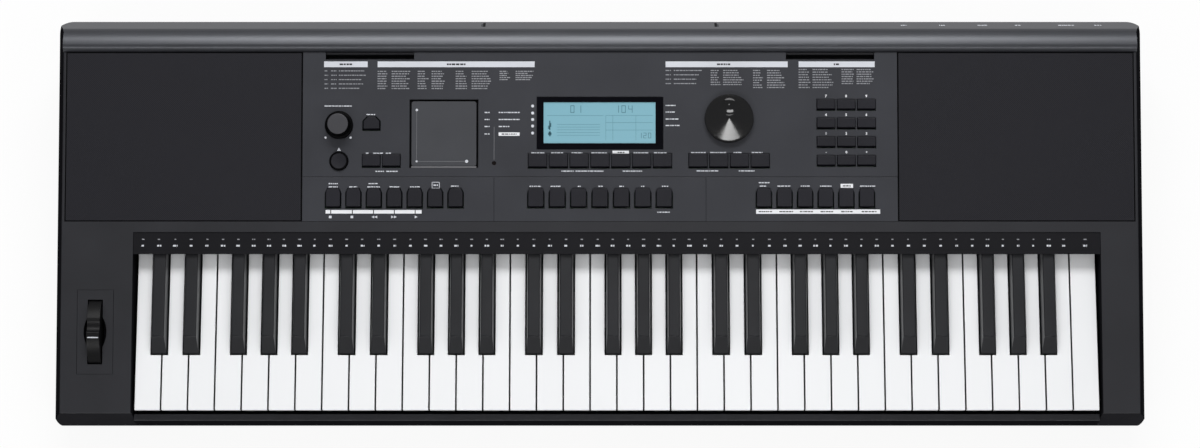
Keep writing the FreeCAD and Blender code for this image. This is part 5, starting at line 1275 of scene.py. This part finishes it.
class KEYBOARD_OT_panel_print(Operator):
    """Prints the bars, lists, labels and numbers on the panel"""

    bl_idname = "keyboard.panel_print"
    bl_label = "Panel Print"

    def execute(self, context):
        sizes = context.scene.keyboard_prints
        self.ink = (-sizes.root, sizes.thickness)
        self.over = (0, OVER_SHARE * sizes.thickness)
        self.draw = random.Random(PANEL_SEED)
        white = self.bars() + self.lists(sizes) + self.labels(sizes) + self.signs()
        deck_piece("panel_print", white, ("ink", "bright_ink", "faint_ink", "list_ink"))
        deck_piece("panel_dark_print", self.dark_words(sizes), ["dark_ink"])
        deck_piece("number_print", self.numbers(sizes), ["bright_ink"])
        return {"FINISHED"}

    def bars(self):
        shapes = [bar(left, right, *HEADER_V, self.ink) for left, right in HEADER_BARS]
        return shapes + [painted(bar(*sides, self.ink), BRIGHT) for sides in BOXES]

    def lists(self, sizes):
        shapes = []
        for low, high, count, columns in LISTS:
            for left, right in columns:
                for index in range(count):
                    v = low + (high - low) * index / (count - 1)
                    width = right - left
                    end = left + width * self.draw.uniform(*RAGGED_SHARE) if width > RAGGED_FROM else right
                    line = words(left, end, v, LIST_SHARE * sizes.letter, self.draw, self.ink)
                    shapes += [painted(word, LIST) for word in line]
        return shapes

    def labels(self, sizes):
        return [word for label in LABELS for word in words(*label, sizes.letter, self.draw, self.ink)]

    def signs(self):
        """Dots, the arrow over the power button, the lamp's line, and the small signs on the left."""
        shapes = [dot(*spot, self.ink, DOT_STEPS) for spot in DOTS]
        shapes += [plate(ARROW, self.ink), painted(bar(*LAMP_LINE, self.ink), FAINT)]
        shapes += [bar(u - SIGN_HALF, u + SIGN_HALF, *SQUARE_V, self.ink) for u in SQUARES]
        for u, way in TRIANGLES:
            tip, back = u + SIGN_HALF * way, u - SIGN_HALF * way
            shapes.append(plate(list(zip((tip, back, back), TRIANGLE_V)), self.ink))
        shapes += [bar(u - FRAME_HALF, u + FRAME_HALF, *FRAME_V, self.ink) for u in FRAME_U]
        shapes += [bar(*FRAME_U, v - FRAME_HALF, v + FRAME_HALF, self.ink) for v in FRAME_V]
        return shapes + words(*FRAMED_WORD, FRAMED_HEIGHT, self.draw, self.ink)

    def dark_words(self, sizes):
        """Dark lettering and ticks on the white bars and boxes."""
        shapes = []
        for left, right in HEADER_WORDS:
            height = HEADER_SHARE * sizes.letter
            shapes += words(left, right, sum(HEADER_V) / 2, height, self.draw, self.over)
        for word in BOX_WORDS:
            shapes += words(*word, sizes.letter, self.draw, self.over)
        for left in LONG_BOX_WORDS:
            right = left + self.draw.uniform(*LONG_BOX_LENGTH)
            shapes += words(left, right, LONG_BOX_V, sizes.letter, self.draw, self.over)
        return shapes + [bar(u - TICK_HALF, u + TICK_HALF, *TICK_V, self.over) for u in BAR_TICKS_LEFT]

    def numbers(self, sizes):
        """The numbers over the number buttons."""
        rows = {}
        for points in islands("number_buttons"):
            local = to_deck(points)
            rear = max(point.y for point in local if point.z > 0)
            rows.setdefault(round(rear, ROW_DIGITS), []).append(sum(span(local, 0)) / 2)
        shapes = []
        for texts, (v, places) in zip(NUMBER_ROWS, sorted(rows.items())):
            for text, u in zip(texts, sorted(places)):
                place = Matrix.Translation((u, v + NUMBER_RISE, sum(self.ink) / 2))
                shapes.append(placed(figure(text, sizes.number, sizes.thickness + sizes.root), place))
        return shapes


# Marks over each key: share of the strip's depth, range of widths in millimetres, height, and finish
STRIP_MARKS = ((0.67, (1.4, 3.2), 0.9 * MM, 1), (0.38, (1.8, 4.2), 1.5 * MM, 0))


class KEYBOARD_OT_strip_print(Operator):
    """Prints a pair of small marks over every key on the label strip"""

    bl_idname = "keyboard.strip_print"
    bl_label = "Strip Print"

    def execute(self, context):
        sizes = context.scene.keyboard_prints
        draw = random.Random(STRIP_SEED)
        _, (low_v, high_v), (_, high) = deck_spans("key_label_strip")
        ink = (high - sizes.root, high + sizes.thickness)
        shapes = []
        for points in [points for node in WHITE_COMBS + BLACK_COMBS for points in islands(node)]:
            top_z = max(point.z for point in points)
            top = [point for point in points if point.z > top_z - NEAR]
            tail_y = max(point.y for point in top)
            u = sum(span([point for point in top if point.y > tail_y - NEAR], 0)) / 2 / MM
            for share, widths, height, finish in STRIP_MARKS:
                v = (low_v + share * (high_v - low_v)) / MM
                half = draw.uniform(*widths) / 2
                shapes += [painted(mark, finish) for mark in words(u - half, u + half, v, height, draw, ink)]
        deck_piece("strip_print", shapes, ("ink", "list_ink"))
        return {"FINISHED"}


# Rear and underside, in millimetres where no unit is given

# Radius and height of the points of a jack's ring and of a screw's head
JACK_RING = ((3.4, -0.4), (6.4, -0.4), (6.4, 0.5), (6.0, 0.9), (4.2, 0.9), (3.4, 0.3), (3.4, -0.4))
SCREW_HEAD = ((0, 0.2), (3.2, 0.2), (3.2, -0.6), (2.4, -1.5), (0, -1.7))
# The two bars of the cross in a screw's head, by half their sides, and from where to where they are cut
SCREW_CROSS, CROSS_Z = ((2.0, 0.4), (0.4, 2.0)), (-3, -0.9)
SCREWS = (
    (-430, 0), *((x, y) for x in (-300, -150, 0, 150, 300) for y in (-118, 0, 128)), (430, 0),
)
# Half the width and height of the data socket's tongue, and its distance from the socket's two ends
TONGUE_HALF, TONGUE_ENDS, TONGUE_EDGE = (3.0 * MM, 1.4 * MM), (0.8 * MM, 1.5 * MM), 0.3 * MM
# Middle and width of each mark over the sockets
BEVEL_MARKS = ((269.0, 5.0), (303.0, 5.0), (339.0, 9.0), (370.0, 5.0), (413.0, 14.0), (441.0, 6.0))
BEVEL_MARK_HEIGHT = 1.6 * MM
# Near-black plates in the bevel, painted shade for its slots: their middles, half their width, and their reach
# down the slope and out of it
BEVEL_SLOTS, SLOT_HALF, SLOT_V = (-102.5, 102.5), 1.1, (-3.5, 5.5)
SLOT_W = (-0.3 * MM, 0.04 * MM)
# The rear bevel is told by its normal: its rise, and its least reach to the rear
BEVEL_RISE, BEVEL_REAR = (0.4, 0.7), 0.6


class KEYBOARD_OT_rear_fittings(Operator):
    """Adds the rings of the jack sockets, the tongue of the data socket and the marks over them"""

    bl_idname = "keyboard.rear_fittings"
    bl_label = "Rear Fittings"

    def execute(self, context):
        facing = Matrix.Rotation(math.radians(-90), 4, "X")
        rings = []
        for mount in frame["record"]["mounts"]:
            if mount["name"].startswith("jack_"):
                x, _, z = mount["pos_m"]
                place = Matrix.Translation((x, CAD_BOX[1].y, z))
                rings.append(placed(turned(in_mm(JACK_RING), RING_STEPS), place @ facing))
        piece("jack_rings", gather(rings), ["metal"])
        piece("usb_tongue", self.tongue(), ["silicone"])
        place = self.bevel()
        draw = random.Random(REAR_SEED)
        ink = (-INK_ROOT, INK_PROUD)
        marks = [mark for x, width in BEVEL_MARKS
                 for mark in words(x - width / 2, x + width / 2, 0.0, BEVEL_MARK_HEIGHT, draw, ink)]
        piece("socket_marks", placed(gather(marks), place), ["ink"])
        # Painted shade: near-black plates where the bevel has its slots
        slots = [bar(x - SLOT_HALF, x + SLOT_HALF, *SLOT_V, SLOT_W) for x in BEVEL_SLOTS]
        piece("bevel_slots", placed(gather(slots), place), ["deep"])
        return {"FINISHED"}

    def tongue(self):
        """The tongue in the data socket."""
        low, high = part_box("usb_socket")
        middle = (low + high) / 2
        half_x, half_z = TONGUE_HALF
        shape = box((middle.x - half_x, low.y + TONGUE_ENDS[0], middle.z - half_z),
                    (middle.x + half_x, high.y - TONGUE_ENDS[1], middle.z + half_z))
        soften(shape, lambda edge: True, TONGUE_EDGE, segments=2)
        return shape

    def bevel(self):
        """The frame of the bevel along the top of the rear: U right, V down the slope, W out of it."""
        data = NODES["top_case"].data
        faces = [face for face in data.polygons if BEVEL_RISE[0] < face.normal.z < BEVEL_RISE[1]
                 and face.normal.y > BEVEL_REAR and face.center.y > 0]
        largest = max(faces, key=lambda face: face.area)
        out = largest.normal.copy()
        right = Vector((1, 0, 0))
        down = -right.cross(out)
        points = [data.vertices[index].co for index in largest.vertices]
        reach = [point.dot(down) for point in points]
        middle = down * (min(reach) + max(reach)) / 2 + out * points[0].dot(out)
        return Matrix.Translation(middle) @ Matrix((right, down, out)).transposed().to_4x4()


class KEYBOARD_OT_underside(Operator):
    """Adds the screws of the lower case"""

    bl_idname = "keyboard.underside"
    bl_label = "Underside"

    def execute(self, context):
        low_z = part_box("bottom_case")[0].z
        head = turned(in_mm(SCREW_HEAD), SCREW_STEPS)
        for x, y in SCREW_CROSS:
            head = carved(head, box(*in_mm(((-x, -y, CROSS_Z[0]), (x, y, CROSS_Z[1])))))
        screws = [placed(head.copy(), Matrix.Translation((x * MM, y * MM, low_z))) for x, y in SCREWS]
        head.free()
        piece("case_screws", gather(screws), ["metal"])
        return {"FINISHED"}


# Stage

# Place, aim, size and brightness of each light
LIGHTS = {
    "rear_light": ((0, 1.50, 1.87), (0, 0, 0.05), (1.6, 0.75), 9.6),
    "front_light": ((-0.1, -1.75, 1.85), (0, 0, 0.05), (3.4, 0.5), 4.4),
    "dial_light": ((0.232, -0.30, 2.60), (0.114, 0.087, 0.095), (0.33, 0.16), 14.0),
}
FLOOR_SIZE, FLOOR_DROP = 8.0, 0.2 * MM
# Share of plain white in what the camera sees of the floor
FLOOR_GLOW = 0.9
# Heights between which the sky turns from the tone of the horizon to its own
SKY_REACH = (0.0, 0.6)
SENSOR_WIDTH = 36.0
CLIP_START, CLIP_END = 0.05, 50.0


def soft_box(name, place, aim, size, radiance):
    """A rectangular studio light of a given brightness."""
    lamp = bpy.data.lights.new(name, "AREA")
    lamp.shape = "RECTANGLE"
    lamp.size, lamp.size_y = size
    lamp.energy = radiance * math.pi * size[0] * size[1]
    item = add_object(name, lamp)
    item.location = place
    item.rotation_euler = (Vector(aim) - Vector(place)).to_track_quat("-Z", "Y").to_euler()


class KEYBOARD_OT_stage(Operator):
    """Sets the floor, the lights and the camera"""

    bl_idname = "keyboard.stage"
    bl_label = "Stage"

    def execute(self, context):
        scene = context.scene
        stage = scene.keyboard_stage
        self.floor(tuple(scene.keyboard_finishes.floor))
        self.world(scene, stage)
        for name, light in LIGHTS.items():
            soft_box(name, *light)
        self.camera(scene, stage)
        scene.view_settings.view_transform = "Standard"
        return {"FINISHED"}

    def floor(self, rgb):
        """A paper floor that glows where the camera sees it, directly or in a reflection."""
        shape = bmesh.new()
        bmesh.ops.create_grid(shape, x_segments=1, y_segments=1, size=FLOOR_SIZE)
        item = add_object("floor", mesh_from("floor", shape))
        item.location.z = -FLOOR_DROP
        material, tree, shader = blank_material("floor_paper")
        feed(tree, shader, Roughness=0.9, Specular_IOR_Level=0.1, Base_Color=(*rgb, 1))
        rays = add_node(tree, "LightPath").outputs
        seen = rays["Is Camera Ray"]
        for ray in ("Is Glossy Ray", "Is Transmission Ray"):
            larger = add_node(tree, "Math")
            larger.operation = "MAXIMUM"
            tree.links.new(seen, larger.inputs[0])
            tree.links.new(rays[ray], larger.inputs[1])
            seen = larger.outputs[0]
        share = add_node(tree, "Math")
        share.operation = "MULTIPLY"
        share.inputs[1].default_value = FLOOR_GLOW
        tree.links.new(seen, share.inputs[0])
        glow = add_node(tree, "Emission", Color=(1, 1, 1, 1), Strength=1.0)
        mixed = add_node(tree, "MixShader")
        tree.links.new(share.outputs[0], mixed.inputs["Fac"])
        tree.links.new(shader.outputs["BSDF"], mixed.inputs[1])
        tree.links.new(glow.outputs["Emission"], mixed.inputs[2])
        tree.links.new(mixed.outputs["Shader"], tree.nodes["Material Output"].inputs["Surface"])
        item.data.materials.append(material)

    def world(self, scene, stage):
        """A sky that is lighter above and behind than in front."""
        scene.world = bpy.data.worlds.new("studio")
        scene.world.use_nodes = True
        tree = scene.world.node_tree
        place = add_node(tree, "TexCoord")
        turn = {"Rotation": (stage.sky_lean, 0, 0)}
        lean = add_node(tree, "Mapping", Vector=place.outputs["Generated"], **turn)
        split = add_node(tree, "SeparateXYZ", Vector=lean.outputs["Vector"])
        tone = shades(tree, split.outputs["Z"], (stage.horizon,) * 3, (stage.sky,) * 3, SKY_REACH)
        feed(tree, tree.nodes["Background"], Color=tone)

    def camera(self, scene, stage):
        lens = bpy.data.cameras.new("photo_camera")
        lens.lens, lens.sensor_width = stage.lens, SENSOR_WIDTH
        lens.clip_start, lens.clip_end = CLIP_START, CLIP_END
        item = add_object("photo_camera", lens)
        aim = Vector((0, stage.aim_y, stage.aim_z))
        back = Vector((0, -math.cos(stage.elevation), math.sin(stage.elevation)))
        look = (-back).to_track_quat("-Z", "Y").to_matrix().to_4x4()
        item.matrix_world = Matrix.Translation(aim + back * stage.distance) @ look
        scene.camera = item


class KEYBOARD_PT_panel(Panel):
    """Lists the steps of the build"""

    bl_idname = "KEYBOARD_PT_panel"
    bl_label = "Arranger Keyboard"
    bl_space_type = "VIEW_3D"
    bl_region_type = "UI"
    bl_category = "Keyboard"

    def draw(self, context):
        for step in STEPS:
            self.layout.operator(step.bl_idname)


STEPS = (
    KEYBOARD_OT_finish_solids, KEYBOARD_OT_shells, KEYBOARD_OT_white_keys, KEYBOARD_OT_black_keys,
    KEYBOARD_OT_buttons, KEYBOARD_OT_volume_knob, KEYBOARD_OT_data_dial, KEYBOARD_OT_pitch_wheel,
    KEYBOARD_OT_display, KEYBOARD_OT_touch_pad, KEYBOARD_OT_panel_print, KEYBOARD_OT_strip_print,
    KEYBOARD_OT_rear_fittings, KEYBOARD_OT_underside, KEYBOARD_OT_stage,
)
GROUPS = {
    "keyboard_keys": KeyboardKeySizes, "keyboard_controls": KeyboardControlSizes,
    "keyboard_prints": KeyboardPrintSizes, "keyboard_finishes": KeyboardFinishes,
    "keyboard_stage": KeyboardStage,
}


def register():
    for name, group in GROUPS.items():
        bpy.utils.register_class(group)
        setattr(bpy.types.Scene, name, PointerProperty(type=group))
    for item in (*STEPS, KEYBOARD_PT_panel):
        bpy.utils.register_class(item)


def unregister():
    for item in reversed((*STEPS, KEYBOARD_PT_panel)):
        bpy.utils.unregister_class(item)
    for name, group in GROUPS.items():
        delattr(bpy.types.Scene, name)
        bpy.utils.unregister_class(group)


def main():
    register()
    for step in STEPS:
        group, name = step.bl_idname.split(".")
        getattr(getattr(bpy.ops, group), name)()


if __name__ == "__main__":
    main()
